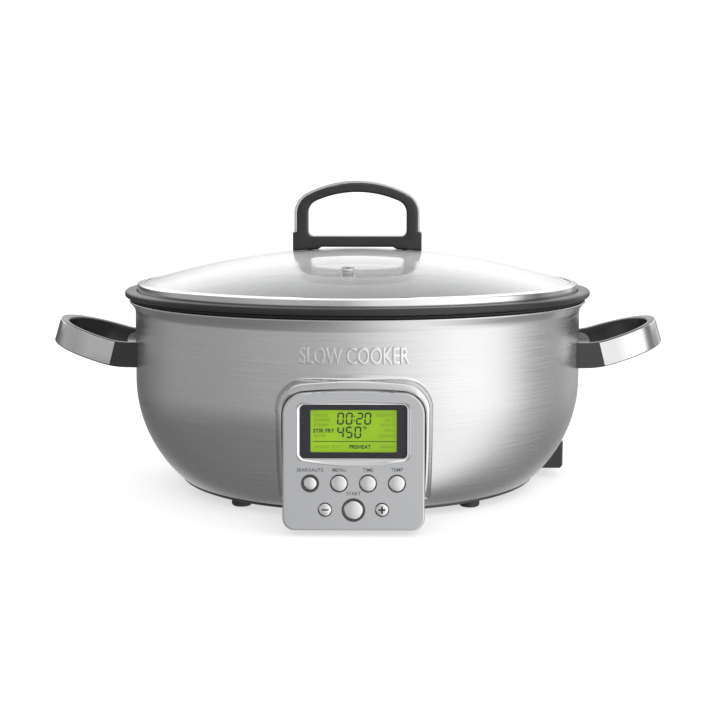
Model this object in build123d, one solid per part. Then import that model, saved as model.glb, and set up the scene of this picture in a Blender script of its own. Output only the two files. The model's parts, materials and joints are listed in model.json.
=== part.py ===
from build123d import *
import os
from math import asin, atan, cos, degrees, radians, sin, sqrt, tan

# A round programmable slow cooker. Millimetres, +Z up, the front is -Y.
# The origin is on the floor, on the axis of the bowl, midway between the four feet.

# --- bowl-shaped steel housing -------------------------------------------------------------
WALL_R = 163.2          # outer radius of the housing's upright wall
WALL_TOP_R = 162.7      # the wall leans in a little towards the lip
BOWL_ARC_R = 95.0       # radius of the curve from the wall down to the bottom edge
BOWL_ARC_Z = 77.5       # height where that curve meets the wall
SHELL_T = 1.2           # sheet thickness
SHELL_FLOOR = 7.0       # height of the shell's bottom flange
FLANGE_IN_R = 118.0     # inner radius of that flange
LIP_R = 167.0           # outer radius of the flared lip
LIP_Z = 135.6           # height of the lip
FLARE_Z = 129.0         # where the wall starts to flare out

# --- base and feet -------------------------------------------------------------------------
BASE_R = 131.2
BASE_LOW, BASE_HIGH = 4.8, 7.0
FOOT_X, FOOT_Y, FOOT_R, FOOT_STUD_R = 78.0, 94.0, 7.0, 2.5
SCREW_RING_R = 124.0    # base screws stand on this circle

# --- removable pot -------------------------------------------------------------------------
RIM_R = 170.0           # outer radius of the rolled rim
RIM_LOW, RIM_HIGH = 138.2, 142.8
MOUTH_R, MOUTH_Z = 148.5, 137.4
POT_FLOOR = 36.0        # inside floor
POT_T = 2.4
POT_CORNER = 44.0       # inside radius between floor and wall
POT_FOOT_R = 144.1      # the wall's inside radius, carried down to the floor
SEAT_R, SEAT_Z = 161.4, 140.3
RUN_GAP = 0.3           # clearance between pieces that move apart

# --- well, heating plate and what is under it ----------------------------------------------
WELL_T = 0.8
WELL_FLOOR = 29.6       # upper side of the well's floor
WELL_HOLE_R = 94.0
WELL_TOP = 122.0
PLATE_R, PLATE_LOW, PLATE_HIGH = 90.0, 26.3, 33.3
PLATE_HOLE_R = 13.6
ELEMENT_R, TUBE_R = 62.0, 3.4
REFLECTOR_R, REFLECTOR_LOW, REFLECTOR_T = 92.0, 20.0, 0.8
LUG_SCREW_R = 98.0

# --- lid -----------------------------------------------------------------------------------
DOME_R, DOME_TOP, GLASS_T = 520.0, 171.4, 4.0
GLASS_EDGE_R = 159.6
LID_SCREW_X = 35.0
VENT_X, VENT_Y = -5.0, -97.0

# --- lid handle ----------------------------------------------------------------------------
ARCH_W, ARCH_TOP = 46.0, 221.0      # half width and top of the steel strap
ARCH_R, ARCH_CORNER = 80.0, 17.0
STRAP_T = 2.0
HOLE_W, HOLE_LOW, HOLE_TOP = 36.2, 180.4, 212.6
GRIP_DEPTH = 19.0
CAP_W, CAP_TOP = 47.2, 183.3

# --- side handles --------------------------------------------------------------------------
LOOP_W = 47.0           # half width of the loop at its root
LOOP_TAPER = 0.115      # how much each arm leans in, for its length
LOOP_LENGTH = 66.4      # from the root to the outer end, along the slope
LOOP_CORNER = 43.0
LOOP_HEIGHT = 18.0
LOOP_T = 6.5            # black grip with its steel band
BAND_T = 1.3
BAND_HEIGHT = 17.0
LOOP_RISE = 17.2        # degrees, beyond the bend
BEND_X, BEND_R = 164.4, 60.0        # the arms start level and bend up from here
ROOT_X, ROOT_Z = 158.0, 97.64       # the arms' middle where they leave the housing
BAND_START = 16.9       # where the steel band begins, along the slope
TAB_X, TAB_Z, TAB_R = 171.8, 98.0, 6.8      # rounded end of the brackets

# --- control panel -------------------------------------------------------------------------
LEAN = 5.0              # degrees that the face leans back
FACE_Y, FACE_Z = 174.0, 47.7
PANEL_W = 44.5          # half width
PANEL_LOW, PANEL_HIGH = -43.6, 44.1
PANEL_RISE = 2.5        # arch of the top edge
FACE_T = 2.2
SKIRT_DEPTH, SKIRT_T = 7.0, 1.6
LENS_W, LENS_LOW, LENS_HIGH = 33.6, 1.8, 35.4
GLOW_W, GLOW_LOW, GLOW_HIGH = 27.0, 5.5, 32.0
TRAY_W, TRAY_V, TRAY_BACK = 42.0, 40.0, -13.5
CASE_LOW = 4.6          # underside of the rear case
SURROUND_LOW, SURROUND_PROUD = 13.0, 10.0   # the steel collar's foot, and how far it stands out

# name, across, up, cap radius, collar radius
BUTTONS = [
    ("sear", -27.1, -13.8, 3.9, 5.7),
    ("menu", -9.04, -13.8, 4.8, 5.7),
    ("time", 9.04, -13.8, 4.8, 5.7),
    ("temp", 27.1, -13.8, 4.8, 5.7),
    ("minus", -17.8, -30.3, 3.8, 4.5),
    ("start", 0.0, -30.5, 5.7, 7.4),
    ("plus", 17.8, -30.3, 3.8, 4.5),
]

# --- power inlet and power board -----------------------------------------------------------
INLET_X0, INLET_X1 = 120.0, 154.0
INLET_Y0, INLET_Y1 = -5.0, 45.0
INLET_Z0, INLET_Z1 = 7.3, 27.5
SOCKET_DEPTH, SOCKET_W, SOCKET_H = 12.0, 26.0, 15.0
PIN_R, PIN_PITCH = 1.6, 12.0
BOARD_W, BOARD_Y0, BOARD_Y1, BOARD_LOW, BOARD_T = 45.0, 75.0, 118.0, 12.0, 1.6

PANEL = Plane(
    origin=(0, -FACE_Y, FACE_Z),
    x_dir=(1, 0, 0),
    z_dir=(0, -cos(radians(LEAN)), sin(radians(LEAN))),
)


# --- shared forms --------------------------------------------------------------------------
def turned(points, radii=None):
    """Turns a closed outline of (radius, height) points about Z, rounding its corners."""
    outline = FilletPolyline(*points, radius=radii or [0] * len(points), close=True)
    return revolve(Plane.XZ * make_face(outline.edges()), Axis.Z)


def rod(x, y, low, high, radius):
    """An upright cylinder between two heights."""
    return Pos(x, y, (low + high) / 2) * Cylinder(radius, high - low)


def block(x0, x1, y0, y1, z0, z1):
    """A box between two corners."""
    centre = Pos((x0 + x1) / 2, (y0 + y1) / 2, (z0 + z1) / 2)
    return centre * Box(x1 - x0, y1 - y0, z1 - z0)


def pan_screw(x, y, seat, tip, shank_r, head_r, head_h):
    """A pan-head screw: its head is below the seat height if the tip is above it."""
    way = 1 if tip > seat else -1
    low, high = sorted((seat, seat - way * head_h))
    return rod(x, y, low, high, head_r) + rod(x, y, min(seat, tip), max(seat, tip), shank_r)


def bowl(inset=0.0, floor=SHELL_FLOOR):
    """The housing's solid outline, moved inward by an inset."""
    arc_r = BOWL_ARC_R - inset
    arc_x = WALL_R - BOWL_ARC_R
    angle = degrees(asin((BOWL_ARC_Z - floor) / arc_r))
    curve = CenterArc((arc_x, BOWL_ARC_Z), arc_r, -angle, angle)
    wall = FilletPolyline(
        curve @ 1, (WALL_TOP_R - inset, FLARE_Z), (LIP_R - inset, LIP_Z), radius=[8]
    )
    closing = Polyline(wall @ 1, (0, LIP_Z), (0, floor), curve @ 0)
    return revolve(Plane.XZ * make_face([*curve.edges(), *wall.edges(), *closing.edges()]), Axis.Z)


def on_panel(face, back, front):
    """Raises a panel outline from one depth to another, measured outward from the face."""
    return PANEL * (Pos(0, 0, back) * extrude(face, front - back))


def arched(half_width, low, high, rise, top_r, low_r):
    """An upright outline with an arched top edge and rounded corners."""
    shoulder = high - rise
    edges = [
        Line((-half_width, low), (half_width, low)),
        Line((half_width, low), (half_width, shoulder)),
        ThreePointArc((half_width, shoulder), (0, high), (-half_width, shoulder)),
        Line((-half_width, shoulder), (-half_width, low)),
    ]
    face = make_face(edges)
    face = fillet(face.vertices().sort_by(Axis.Y)[-2:], top_r)
    return fillet(face.vertices().sort_by(Axis.Y)[:2], low_r)


def window(half_width, low, high, corner):
    """A rounded rectangle on the panel."""
    return Pos(0, (low + high) / 2) * RectangleRounded(2 * half_width, high - low, corner)


def panel_outline(grow=0.0):
    return arched(PANEL_W + grow, PANEL_LOW - grow, PANEL_HIGH + grow, PANEL_RISE, 14 + grow, 8 + grow)


# --- housing -------------------------------------------------------------------------------
def handle_screw_places():
    return [(side, end) for side in (-1, 1) for end in (-1, 1)]


def side_rod(side, y, z, start, end, radius):
    """A cylinder along X, between two distances from the axis, on the left or right."""
    return Pos(side * (start + end) / 2, y, z) * Rot(0, 90, 0) * Cylinder(radius, end - start)


def handle_screw_y():
    return LOOP_W - LOOP_T / 2


def base_screw_places():
    places = PolarLocations(SCREW_RING_R, 4, start_angle=20)
    return [(place.position.X, place.position.Y) for place in places]


def housing_shell():
    shell = bowl() - bowl(SHELL_T, SHELL_FLOOR + SHELL_T)
    shell -= rod(0, 0, 0, 20, FLANGE_IN_R)
    shell -= on_panel(window(TRAY_W + 0.4, 0, TRAY_V + 0.4, 4), -40, 0)
    shell -= Pos(0, -148, 20) * Rot(90, 0, 0) * Cylinder(4, 40)
    shell -= block(INLET_X0, 170, INLET_Y0 - 0.2, INLET_Y1 + 0.2, 0, INLET_Z1 + 0.2)
    for side, end in handle_screw_places():
        shell -= side_rod(side, end * handle_screw_y(), ROOT_Z, 140, 175, 2.1)
    for x, y in base_screw_places():
        shell -= rod(x, y, 0, 20, 1.6)
    for x, y in foot_places():
        shell -= rod(x, y, 0, 20, FOOT_STUD_R + 0.1)
    return shell


def panel_surround():
    """Steel collar that stands out of the bowl round the top and sides of the panel."""
    outline = arched(48.2, -41.5, 50.2, 3, 18, 3)
    raised = on_panel(outline, -60, -5)
    raised += PANEL * (Pos(0, 0, -5) * extrude(outline, 1.6, taper=40))
    raised -= on_panel(panel_outline(0.6), -70, 5)
    raised -= rod(0, 0, -20, SURROUND_LOW, 2 * RIM_R)
    return (raised & bowl(-SURROUND_PROUD)) - bowl(-0.05)


def support_ring():
    """Heat-proof ring between the shell's lip and the well, where the pot's rim rests."""
    return turned(
        [(154.3, WELL_TOP), (161.2, WELL_TOP), (161.2, LIP_Z + 0.1), (166.2, LIP_Z + 0.1),
         (166.2, 137.9), (160.9, 137.9), (159.5, 135.0), (154.3, 134.2)],
        [0, 0, 0, 0.6, 0.8, 0, 0, 0.8],
    )


def vessel(radius_low, low, corner, radius_high, high):
    return turned([(0, low), (radius_low, low), (radius_high, high), (0, high)], [0, corner, 0, 0])


def inner_well():
    """Thin steel liner that holds the heat round the pot."""
    outer = vessel(151.2, WELL_FLOOR - WELL_T, 51.2, 154.0, WELL_TOP)
    inner = vessel(150.4, WELL_FLOOR, 50.4, 153.2, WELL_TOP)
    well = outer + turned([(153, WELL_TOP - WELL_T), (161.0, WELL_TOP - WELL_T),
                           (161.0, WELL_TOP), (153, WELL_TOP)]) - inner
    well -= rod(0, 0, 20, 40, WELL_HOLE_R)
    for x, y in lug_places(LUG_SCREW_R):
        well -= rod(x, y, 20, 40, 2.1)
    return well


def lug_places(radius):
    places = PolarLocations(radius, 3, start_angle=30)
    return [(place.position.X, place.position.Y) for place in places]


def insulation_blanket():
    """Fibre blanket round the well, open at the front for the control panel."""
    blanket = turned([(154.8, 84), (159.8, 84), (159.8, 118), (154.8, 118)])
    blanket -= block(-50, 50, -170, 0, 80, 122)
    for side, end in handle_screw_places():
        blanket -= side_rod(side, end * handle_screw_y(), ROOT_Z, 130, 165, 6)
    return blanket


# --- heating -------------------------------------------------------------------------------
def heating_plate():
    plate = rod(0, 0, PLATE_LOW, PLATE_HIGH, PLATE_R)
    for place in PolarLocations(96, 3, start_angle=30):
        lug = place * Box(16, 14, WELL_FLOOR - WELL_T - PLATE_LOW)
        plate += Pos(0, 0, (WELL_FLOOR - WELL_T + PLATE_LOW) / 2) * lug
    plate -= rod(0, 0, 20, 40, PLATE_HOLE_R)
    plate -= Pos(0, 0, PLATE_LOW) * Torus(ELEMENT_R, TUBE_R + 0.1)
    for x, y in lug_places(LUG_SCREW_R):
        plate -= rod(x, y, 20, 40, 2.1)
    return plate


def leg_angle():
    return degrees(asin(8.6 / ELEMENT_R))


def heating_element():
    """Tubular element under the plate: nearly a full ring, with two legs turned down."""
    start, sweep_angle = 90 + leg_angle(), 360 - 2 * leg_angle()
    ring = Pos(0, 0, PLATE_LOW) * CenterArc((0, 0), ELEMENT_R, start, sweep_angle)
    tube = sweep(Plane(ring @ 0, z_dir=ring % 0) * Circle(TUBE_R), path=ring)
    for x in (-8.6, 8.6):
        y = sqrt(ELEMENT_R**2 - x**2)
        tube += Pos(x, y, PLATE_LOW) * Sphere(TUBE_R) + rod(x, y, 17, PLATE_LOW, TUBE_R)
    return tube


def element_terminals():
    y = sqrt(ELEMENT_R**2 - 8.6**2)
    return [block(x - 3.1, x + 3.1, y - 0.4, y + 0.4, 10.9, 17) for x in (-8.6, 8.6)]


def plate_screws():
    return [pan_screw(x, y, WELL_FLOOR, 23.5, 2.0, 2.7, 1.6) for x, y in lug_places(LUG_SCREW_R)]


def reflector_plate():
    low, high = REFLECTOR_LOW, REFLECTOR_LOW + REFLECTOR_T
    pan = turned([(0, low), (REFLECTOR_R, low), (REFLECTOR_R, 25), (REFLECTOR_R - REFLECTOR_T, 25),
                  (REFLECTOR_R - REFLECTOR_T, high), (0, high)])
    y = sqrt(ELEMENT_R**2 - 8.6**2)
    for x in (-8.6, 8.6):
        pan -= rod(x, y, 10, 30, TUBE_R + 1.4)
    return pan


def sensor_bracket():
    """Cup on the reflector that guides the temperature sensor."""
    low = REFLECTOR_LOW + REFLECTOR_T
    return turned([(0, low), (13.2, low), (13.2, 28), (12.2, 28), (12.2, low + 0.8), (0, low + 0.8)])


def sensor_spring():
    coil = Pos(0, 0, 22.2) * Helix(pitch=2.25, height=9, radius=6)
    return sweep(Plane(coil @ 0, z_dir=coil % 0) * Circle(0.5), path=coil, is_frenet=True)


def temperature_sensor():
    """Sprung steel cup under the pot, with a guide post."""
    cup = turned([(0, 31.8), (10.2, 31.8), (10.2, 26.5), (11, 26.5), (11, 33.0), (0, 33.0)],
                 [0, 0, 0, 0, 1, 0])
    return cup + rod(0, 0, 24.4, 31.8, 2.4)


def thermal_fuse():
    return Pos(30, 20, 17.6) * Rot(0, 90, 0) * Cylinder(2.2, 14)


# --- base ----------------------------------------------------------------------------------
def foot_places():
    return [(x, y) for x in (-FOOT_X, FOOT_X) for y in (-FOOT_Y, FOOT_Y)]


def base_plate():
    plate = rod(0, 0, BASE_LOW, BASE_HIGH, BASE_R)
    rim = plate.edges().filter_by(GeomType.CIRCLE).sort_by(Axis.Z)[0]
    plate = chamfer(rim, 0.8)
    for row in range(-3, 4):
        plate -= Pos(0, row * 12, BASE_LOW) * extrude(SlotOverall(60, 3.2), 5)
    for x, y in foot_places():
        plate -= rod(x, y, 0, 10, FOOT_STUD_R + 0.1)
    for x, y in base_screw_places():
        plate -= rod(x, y, 0, 10, 1.6)
    return plate


def feet():
    def foot(x, y):
        pad = rod(x, y, 0, BASE_LOW, FOOT_R)
        pad = fillet(pad.edges().filter_by(GeomType.CIRCLE).sort_by(Axis.Z)[0], 2)
        return pad + rod(x, y, BASE_LOW, 9, FOOT_STUD_R)
    return [foot(x, y) for x, y in foot_places()]


def base_screws():
    return [pan_screw(x, y, BASE_LOW, 12, 1.5, 3, 1.2) for x, y in base_screw_places()]


# --- power board and inlet -----------------------------------------------------------------
def standoff_places():
    return [(x, y) for x in (-40, 40) for y in (80, 106)]


def power_board():
    board = block(-BOARD_W, BOARD_W, BOARD_Y0, BOARD_Y1, BOARD_LOW, BOARD_LOW + BOARD_T)
    for x, y in standoff_places():
        board -= rod(x, y, 5, 20, 1.35)
    return board


def board_standoffs():
    return [rod(x, y, BASE_HIGH, BOARD_LOW, 3) - rod(x, y, 5, 15, 1.35) for x, y in standoff_places()]


def board_screws():
    top = BOARD_LOW + BOARD_T
    return [pan_screw(x, y, top, 8, 1.25, 2.5, 1.6) for x, y in standoff_places()]


def relay():
    body = block(-30, -14, 100, 112, BOARD_LOW + BOARD_T, 27.2)
    return fillet(body.edges().filter_by(Axis.Z), 0.8)


def transformer():
    """A laminated core with its winding through it."""
    low = BOARD_LOW + BOARD_T
    core = block(-6, 18, 101, 115, low, 26.6) - block(-2, 14, 90, 120, low + 3, 23.4)
    winding = block(-1.8, 13.8, 99, 117, low + 3.1, 23.3)
    return core + block(5, 7, 101, 115, low, 26.6) + winding


def capacitors():
    return [rod(x, 104, BOARD_LOW + BOARD_T, 25, 4) for x in (24, 33)]


def lead(points, bend, radius):
    """A held wire: straight runs joined by bends."""
    path = FilletPolyline(*points, radius=bend)
    return sweep(Plane(path @ 0, z_dir=path % 0) * Circle(radius), path=path)


def internal_leads():
    y = sqrt(ELEMENT_R**2 - 8.6**2)
    leads = [lead([(x, y + 0.6, 9.4), (x, 79, 9.4), (x, 79, 12)], 2, 1.2) for x in (-8.6, 8.6)]
    for shift in (0, 7):
        points = [(118, 12 + shift, 13), (100, 30 + shift, 13), (78, 58 + shift, 17),
                  (60, 80 + shift, 17), (47, 86 + shift, 15.4), (38, 86 + shift, 15.4)]
        leads.append(lead(points, 5, 1.4))
    ribbon = [(0, -161, 20), (0, -125, 20), (0, -100, 10.5), (0, 66, 10.5), (0, 84, 10.5)]
    return leads + [lead(ribbon[:4], 8, 1.8)]


def power_inlet_housing():
    """Moulded block low on the right side, with a recessed socket in its outer face."""
    body = block(INLET_X0, INLET_X1, INLET_Y0, INLET_Y1, INLET_Z0, INLET_Z1)
    low_edge = body.edges().filter_by(Axis.Y).filter_by(lambda e: e.center().X > 150)
    body = chamfer(low_edge.sort_by(Axis.Z)[0], 2.2)
    body = fillet(body.edges().filter_by(Axis.Z).filter_by(lambda e: e.center().X > 150), 1.5)
    x0 = INLET_X1 - SOCKET_DEPTH
    y, z = inlet_centre()
    body -= block(x0, INLET_X1 + 5, y - SOCKET_W / 2, y + SOCKET_W / 2, z - SOCKET_H / 2, z + SOCKET_H / 2)
    for pin_y in pin_places():
        body -= Pos(x0 - 4, pin_y, z) * Rot(0, 90, 0) * Cylinder(PIN_R, 12)
    return body


def inlet_centre():
    return (INLET_Y0 + INLET_Y1) / 2, (INLET_Z0 + INLET_Z1) / 2


def pin_places():
    y, _ = inlet_centre()
    return [y - PIN_PITCH / 2, y + PIN_PITCH / 2]


def inlet_pins():
    x0 = INLET_X1 - SOCKET_DEPTH - 9.9
    x1 = INLET_X1 - 2.5
    _, z = inlet_centre()
    return [Pos((x0 + x1) / 2, y, z) * Rot(0, 90, 0) * Cylinder(PIN_R - 0.02, x1 - x0) for y in pin_places()]


# --- side handles --------------------------------------------------------------------------
def loop_plane():
    """The sloping part's mid plane, measured from a root inside the bend."""
    rise = radians(LOOP_RISE)
    run = BEND_X - ROOT_X + BEND_R * rise
    x = BEND_X + BEND_R * sin(rise) - run * cos(rise)
    z = ROOT_Z + BEND_R * (1 - cos(rise)) - run * sin(rise)
    return Plane(origin=(x, 0, z), x_dir=(cos(rise), 0, sin(rise)), z_dir=(-sin(rise), 0, cos(rise)))


LOOP = loop_plane()


def loop_face(inset):
    """Plan of the handle's loop, from inside the housing wall to its outer end."""
    back, end = -25.0, LOOP_LENGTH - inset
    wide = LOOP_W - inset * sqrt(1 + LOOP_TAPER**2)
    start, finish = wide - LOOP_TAPER * back, wide - LOOP_TAPER * end
    outline = Polyline((back, -start), (end, -finish), (end, finish), (back, start), close=True)
    face = make_face(outline.edges())
    return fillet(face.vertices().sort_by(Axis.X)[-2:], LOOP_CORNER - inset)


def loop_strip(height):
    """Side view of the arms, level at first and then bent up, carried across the handle."""
    half, rise = height / 2, radians(LOOP_RISE)
    shift = half * tan(rise / 2)
    knee = BEND_X + BEND_R * tan(rise / 2)
    reach = LOOP_LENGTH + 20
    x, z = knee + reach * cos(rise), ROOT_Z + reach * sin(rise)
    strip = FilletPolyline(
        (130, ROOT_Z - half), (knee + shift, ROOT_Z - half),
        (x + half * sin(rise), z - half * cos(rise)), (x - half * sin(rise), z + half * cos(rise)),
        (knee - shift, ROOT_Z + half), (130, ROOT_Z + half),
        radius=[0, BEND_R + half, 0, 0, BEND_R - half, 0], close=True,
    )
    return extrude(Plane.XZ * make_face(strip.edges()), 80, both=True)


def loop_slab(inset):
    return LOOP * (Pos(0, 0, -30) * extrude(loop_face(inset), 60))


def band_zone():
    """Everything outward of the slanted line where the steel band begins."""
    start, tilt = BAND_START, -0.9
    outline = Polyline((start + tilt, -20), (start - tilt, 20), (120, 20), (120, -20), close=True)
    side_view = Plane(origin=LOOP.origin, x_dir=LOOP.x_dir, z_dir=(0, -1, 0))
    return extrude(side_view * make_face(outline.edges()), 80, both=True)


def handle_band():
    return (loop_slab(0) - loop_slab(BAND_T)) & band_zone() & loop_strip(BAND_HEIGHT)


def handle_grip():
    recess = (loop_slab(-1) - loop_slab(BAND_T + 0.05)) & band_zone() & loop_strip(BAND_HEIGHT + 0.1)
    grip = (loop_slab(0) - band_zone()) + (loop_slab(0.5) & band_zone())
    grip = (grip & loop_strip(LOOP_HEIGHT)) - loop_slab(LOOP_T) - bowl(-0.2) - recess
    for end in (-1, 1):
        grip -= side_rod(1, end * handle_screw_y(), ROOT_Z, 140, 168.5, 2.0)
    return grip.solids().filter_by(lambda s: s.volume > 1000)[0]


def handle_brackets():
    """Steel tabs on the shell, against the inner side of each arm."""
    tab = Pos(TAB_X, TAB_Z) * Circle(TAB_R) + Pos(TAB_X / 2 + 75, TAB_Z) * Rectangle(TAB_X - 150, 2 * TAB_R)
    plate = extrude(Plane.XZ * tab, 1, both=True)
    lean = degrees(atan(LOOP_TAPER))
    y = LOOP_W - LOOP_T - 1.5
    plate = Pos(-ROOT_X, 0, 0) * plate
    return [Pos(ROOT_X, end * y, 0) * Rot(0, 0, -end * lean) * plate - bowl(-0.1) for end in (-1, 1)]


def handle_screws():
    screws = []
    for side, end in handle_screw_places():
        y = end * handle_screw_y()
        head = side_rod(side, y, ROOT_Z, 151.4, 154.0, 3.4)
        screws.append(head + side_rod(side, y, ROOT_Z, 154.0, 168, 1.9))
    return screws


def mirrored(piece):
    if isinstance(piece, list):
        return [mirrored(each) for each in piece]
    return mirror(piece, about=Plane.YZ)


# --- pot -----------------------------------------------------------------------------------
def cooking_pot():
    outer_low = POT_FOOT_R + POT_T - 0.1
    return turned(
        [(0, POT_FLOOR), (POT_FOOT_R, POT_FLOOR), (MOUTH_R, MOUTH_Z), (SEAT_R, SEAT_Z), (161.5, RIM_HIGH),
         (RIM_R, RIM_HIGH), (RIM_R, RIM_LOW), (161.0, RIM_LOW), (MOUTH_R + POT_T, 134.6),
         (outer_low, POT_FLOOR - POT_T), (0, POT_FLOOR - POT_T)],
        [0, POT_CORNER, 2.5, 0.2, 0.8, 1.8, 1.4, 1, 2, POT_CORNER + POT_T, 0],
    )


# --- lid -----------------------------------------------------------------------------------
def dome_z(r, below=0.0):
    """Height of the glass's upper side at a radius, or of a sphere that much inside it."""
    return DOME_TOP - DOME_R + sqrt((DOME_R - below) ** 2 - r * r)


def lid_glass():
    centre = (0, DOME_TOP - DOME_R)
    top_angle = degrees(asin(GLASS_EDGE_R / DOME_R))
    low_angle = degrees(asin(GLASS_EDGE_R / (DOME_R - GLASS_T)))
    top = CenterArc(centre, DOME_R, 90, -top_angle)
    low = CenterArc(centre, DOME_R - GLASS_T, 90, -low_angle)
    face = make_face([*top.edges(), *Line(top @ 1, low @ 1).edges(), *low.edges(),
                      *Line(low @ 0, top @ 0).edges()])
    glass = revolve(Plane.XZ * face, Axis.Z)
    for x in (-LID_SCREW_X, LID_SCREW_X):
        glass -= rod(x, 0, 150, 180, 2.6)
    return glass - vent_plane() * Cylinder(4, 20)


def lid_band():
    """Steel band that wraps the glass's edge and rests in the pot's seat."""
    return turned(
        [(161.0, 140.7), (161.0, 147.4), (156.2, 148.4), (156.2, 147.65), (159.8, 146.55),
         (159.8, 141.9), (157.0, 141.9), (157.0, 140.7)],
        [0.4, 0.6, 0.2, 0, 0, 0, 0, 0],
    )


def vent_plane():
    """A plane on the glass at the steam vent, facing straight out of the dome."""
    height = dome_z(sqrt(VENT_X**2 + VENT_Y**2))
    centre = Vector(0, 0, DOME_TOP - DOME_R)
    point = Vector(VENT_X, VENT_Y, height)
    return Plane(origin=point, z_dir=point - centre)


def steam_vent():
    """A steel grommet through the glass with a small hole."""
    top = Pos(0, 0, 0.6) * Cylinder(5.2, 1.0)
    top = fillet(top.edges().filter_by(GeomType.CIRCLE).sort_by(Axis.Z)[-1], 0.5)
    grommet = top + Pos(0, 0, -GLASS_T / 2) * Cylinder(3.9, GLASS_T + 1.4)
    grommet += Pos(0, 0, -GLASS_T - 0.75) * Cylinder(5.2, 1.0)
    return vent_plane() * (grommet - Cylinder(1.6, 20))


def arch_face(half_width, low, high, big_r, corner, low_corner=0.0):
    """Arched outline: upright sides, a large top arc and rounded shoulders."""
    side = Pos(0, (low + high) / 2) * Rectangle(2 * half_width, high - low)
    face = side & (Pos(0, high - big_r) * Circle(big_r))
    face = fillet(face.vertices().sort_by(Axis.Y)[-2:], corner)
    if low_corner:
        face = fillet(face.vertices().sort_by(Axis.Y)[:2], low_corner)
    return face


def across(face, depth):
    """Extrudes a front-view outline to both sides of the handle's middle plane."""
    return extrude(Plane.XZ * face, depth / 2, both=True)


def glass_ball(gap):
    """The dome's sphere, grown by a gap."""
    return Pos(0, 0, DOME_TOP - DOME_R) * Sphere(DOME_R + gap)


def lid_handle_grip():
    inner = STRAP_T + 0.05
    outline = arch_face(ARCH_W - inner, 166, ARCH_TOP - inner, ARCH_R - inner, ARCH_CORNER - inner)
    caps = Pos(0, (166 + CAP_TOP) / 2) * Rectangle(2 * CAP_W, CAP_TOP - 166)
    opening = arch_face(HOLE_W, HOLE_LOW, HOLE_TOP, 75, 10, 4)
    grip = across(outline, GRIP_DEPTH) + across(caps, GRIP_DEPTH)
    hole = across(opening, GRIP_DEPTH + 4)
    grip -= hole
    rims = grip.edges().filter_by(lambda e: in_opening(e))
    grip = chamfer(rims, 1.4)
    grip -= glass_ball(0.4)
    grip -= block(-26, 26, -20, 20, 160, DOME_TOP + 1.2)
    for x in (-LID_SCREW_X, LID_SCREW_X):
        grip -= rod(x, 0, 160, 179, 2.0)
    return grip


def in_opening(edge):
    """True for an edge of the finger opening on the grip's front or back face."""
    centre = edge.center()
    inside = abs(centre.X) < HOLE_W + 1 and HOLE_LOW - 1 < centre.Z < HOLE_TOP + 1
    return inside and abs(abs(centre.Y) - GRIP_DEPTH / 2) < 0.01


def lid_handle_strap():
    outer = arch_face(ARCH_W, CAP_TOP + 0.1, ARCH_TOP, ARCH_R, ARCH_CORNER)
    inner = arch_face(
        ARCH_W - STRAP_T, CAP_TOP - 5, ARCH_TOP - STRAP_T, ARCH_R - STRAP_T, ARCH_CORNER - STRAP_T
    )
    return across(outer, GRIP_DEPTH - 3) - across(inner, GRIP_DEPTH)


def lid_screws():
    seat = dome_z(LID_SCREW_X, GLASS_T) - 1.2
    return [pan_screw(x, 0, seat, 178, 1.9, 4.2, 2.2) for x in (-LID_SCREW_X, LID_SCREW_X)]


def lid_washers():
    """Soft washers between the screw heads and the glass."""
    washers = []
    for x in (-LID_SCREW_X, LID_SCREW_X):
        low = dome_z(LID_SCREW_X, GLASS_T) - 1.2
        ring = rod(x, 0, low, low + 4, 6) - rod(x, 0, low - 1, low + 6, 2.0)
        washers.append(ring & (Pos(0, 0, DOME_TOP - DOME_R) * Sphere(DOME_R - GLASS_T - 0.05)))
    return washers


# --- control panel -------------------------------------------------------------------------
def spot(x, y, low, high, radius):
    """A cylinder square to the panel's face."""
    return PANEL * (Pos(x, y, (low + high) / 2) * Cylinder(radius, high - low))


def boss_places():
    return [(x, y) for x in (-38.2, 38.2) for y in (-33, 31)]


def bezel_outline(grow=0.0):
    """Frame outline of the display window: bowed at its top and bottom edges."""
    w, low, high = 35.4 + grow, LENS_LOW - 0.9 - grow, LENS_HIGH + 0.7 + grow
    edges = [
        Line((-w, low), (-w, high)),
        ThreePointArc((-w, high), (0, high + 2.2), (w, high)),
        Line((w, high), (w, low)),
        ThreePointArc((w, low), (0, low - 4), (-w, low)),
    ]
    face = make_face(edges)
    return fillet(face.vertices(), 4)


def panel_face():
    """Satin cover with a skirt, a display window and seven button holes."""
    cover = on_panel(panel_outline(), -SKIRT_DEPTH, 0)
    front = cover.faces().sort_by(Axis((0, 0, 0), PANEL.z_dir))[-1]
    cover = fillet(front.edges(), 1.2)
    cover -= on_panel(panel_outline(-SKIRT_T), -SKIRT_DEPTH - 1, -FACE_T)
    for x, y in boss_places():
        cover += spot(x, y, -8.8, -FACE_T, 2.3)
        cover -= spot(x, y, -9, -3.2, 1.05)
    cover -= on_panel(bezel_outline(0.05), -4, 1)
    for _, x, y, _, collar_r in BUTTONS:
        cover -= spot(x, y, -5, 2, collar_r + 0.03)
    return cover


def lcd_bezel():
    ring = on_panel(bezel_outline(), -FACE_T, 0.3)
    front = ring.faces().sort_by(Axis((0, 0, 0), PANEL.z_dir))[-1]
    ring = chamfer(front.edges(), 0.5)
    return ring - on_panel(window(LENS_W, LENS_LOW, LENS_HIGH, 3), -5, 3)


def lcd_lens():
    return on_panel(window(LENS_W - 0.1, LENS_LOW + 0.1, LENS_HIGH - 0.1, 2.9), -1.6, -0.8)


def lcd_frame():
    outer = window(LENS_W - 0.1, LENS_LOW + 0.1, LENS_HIGH - 0.1, 2.9)
    inner = window(GLOW_W, GLOW_LOW, GLOW_HIGH, 0.8)
    return on_panel(outer - inner, -2.6, -1.65)


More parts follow.
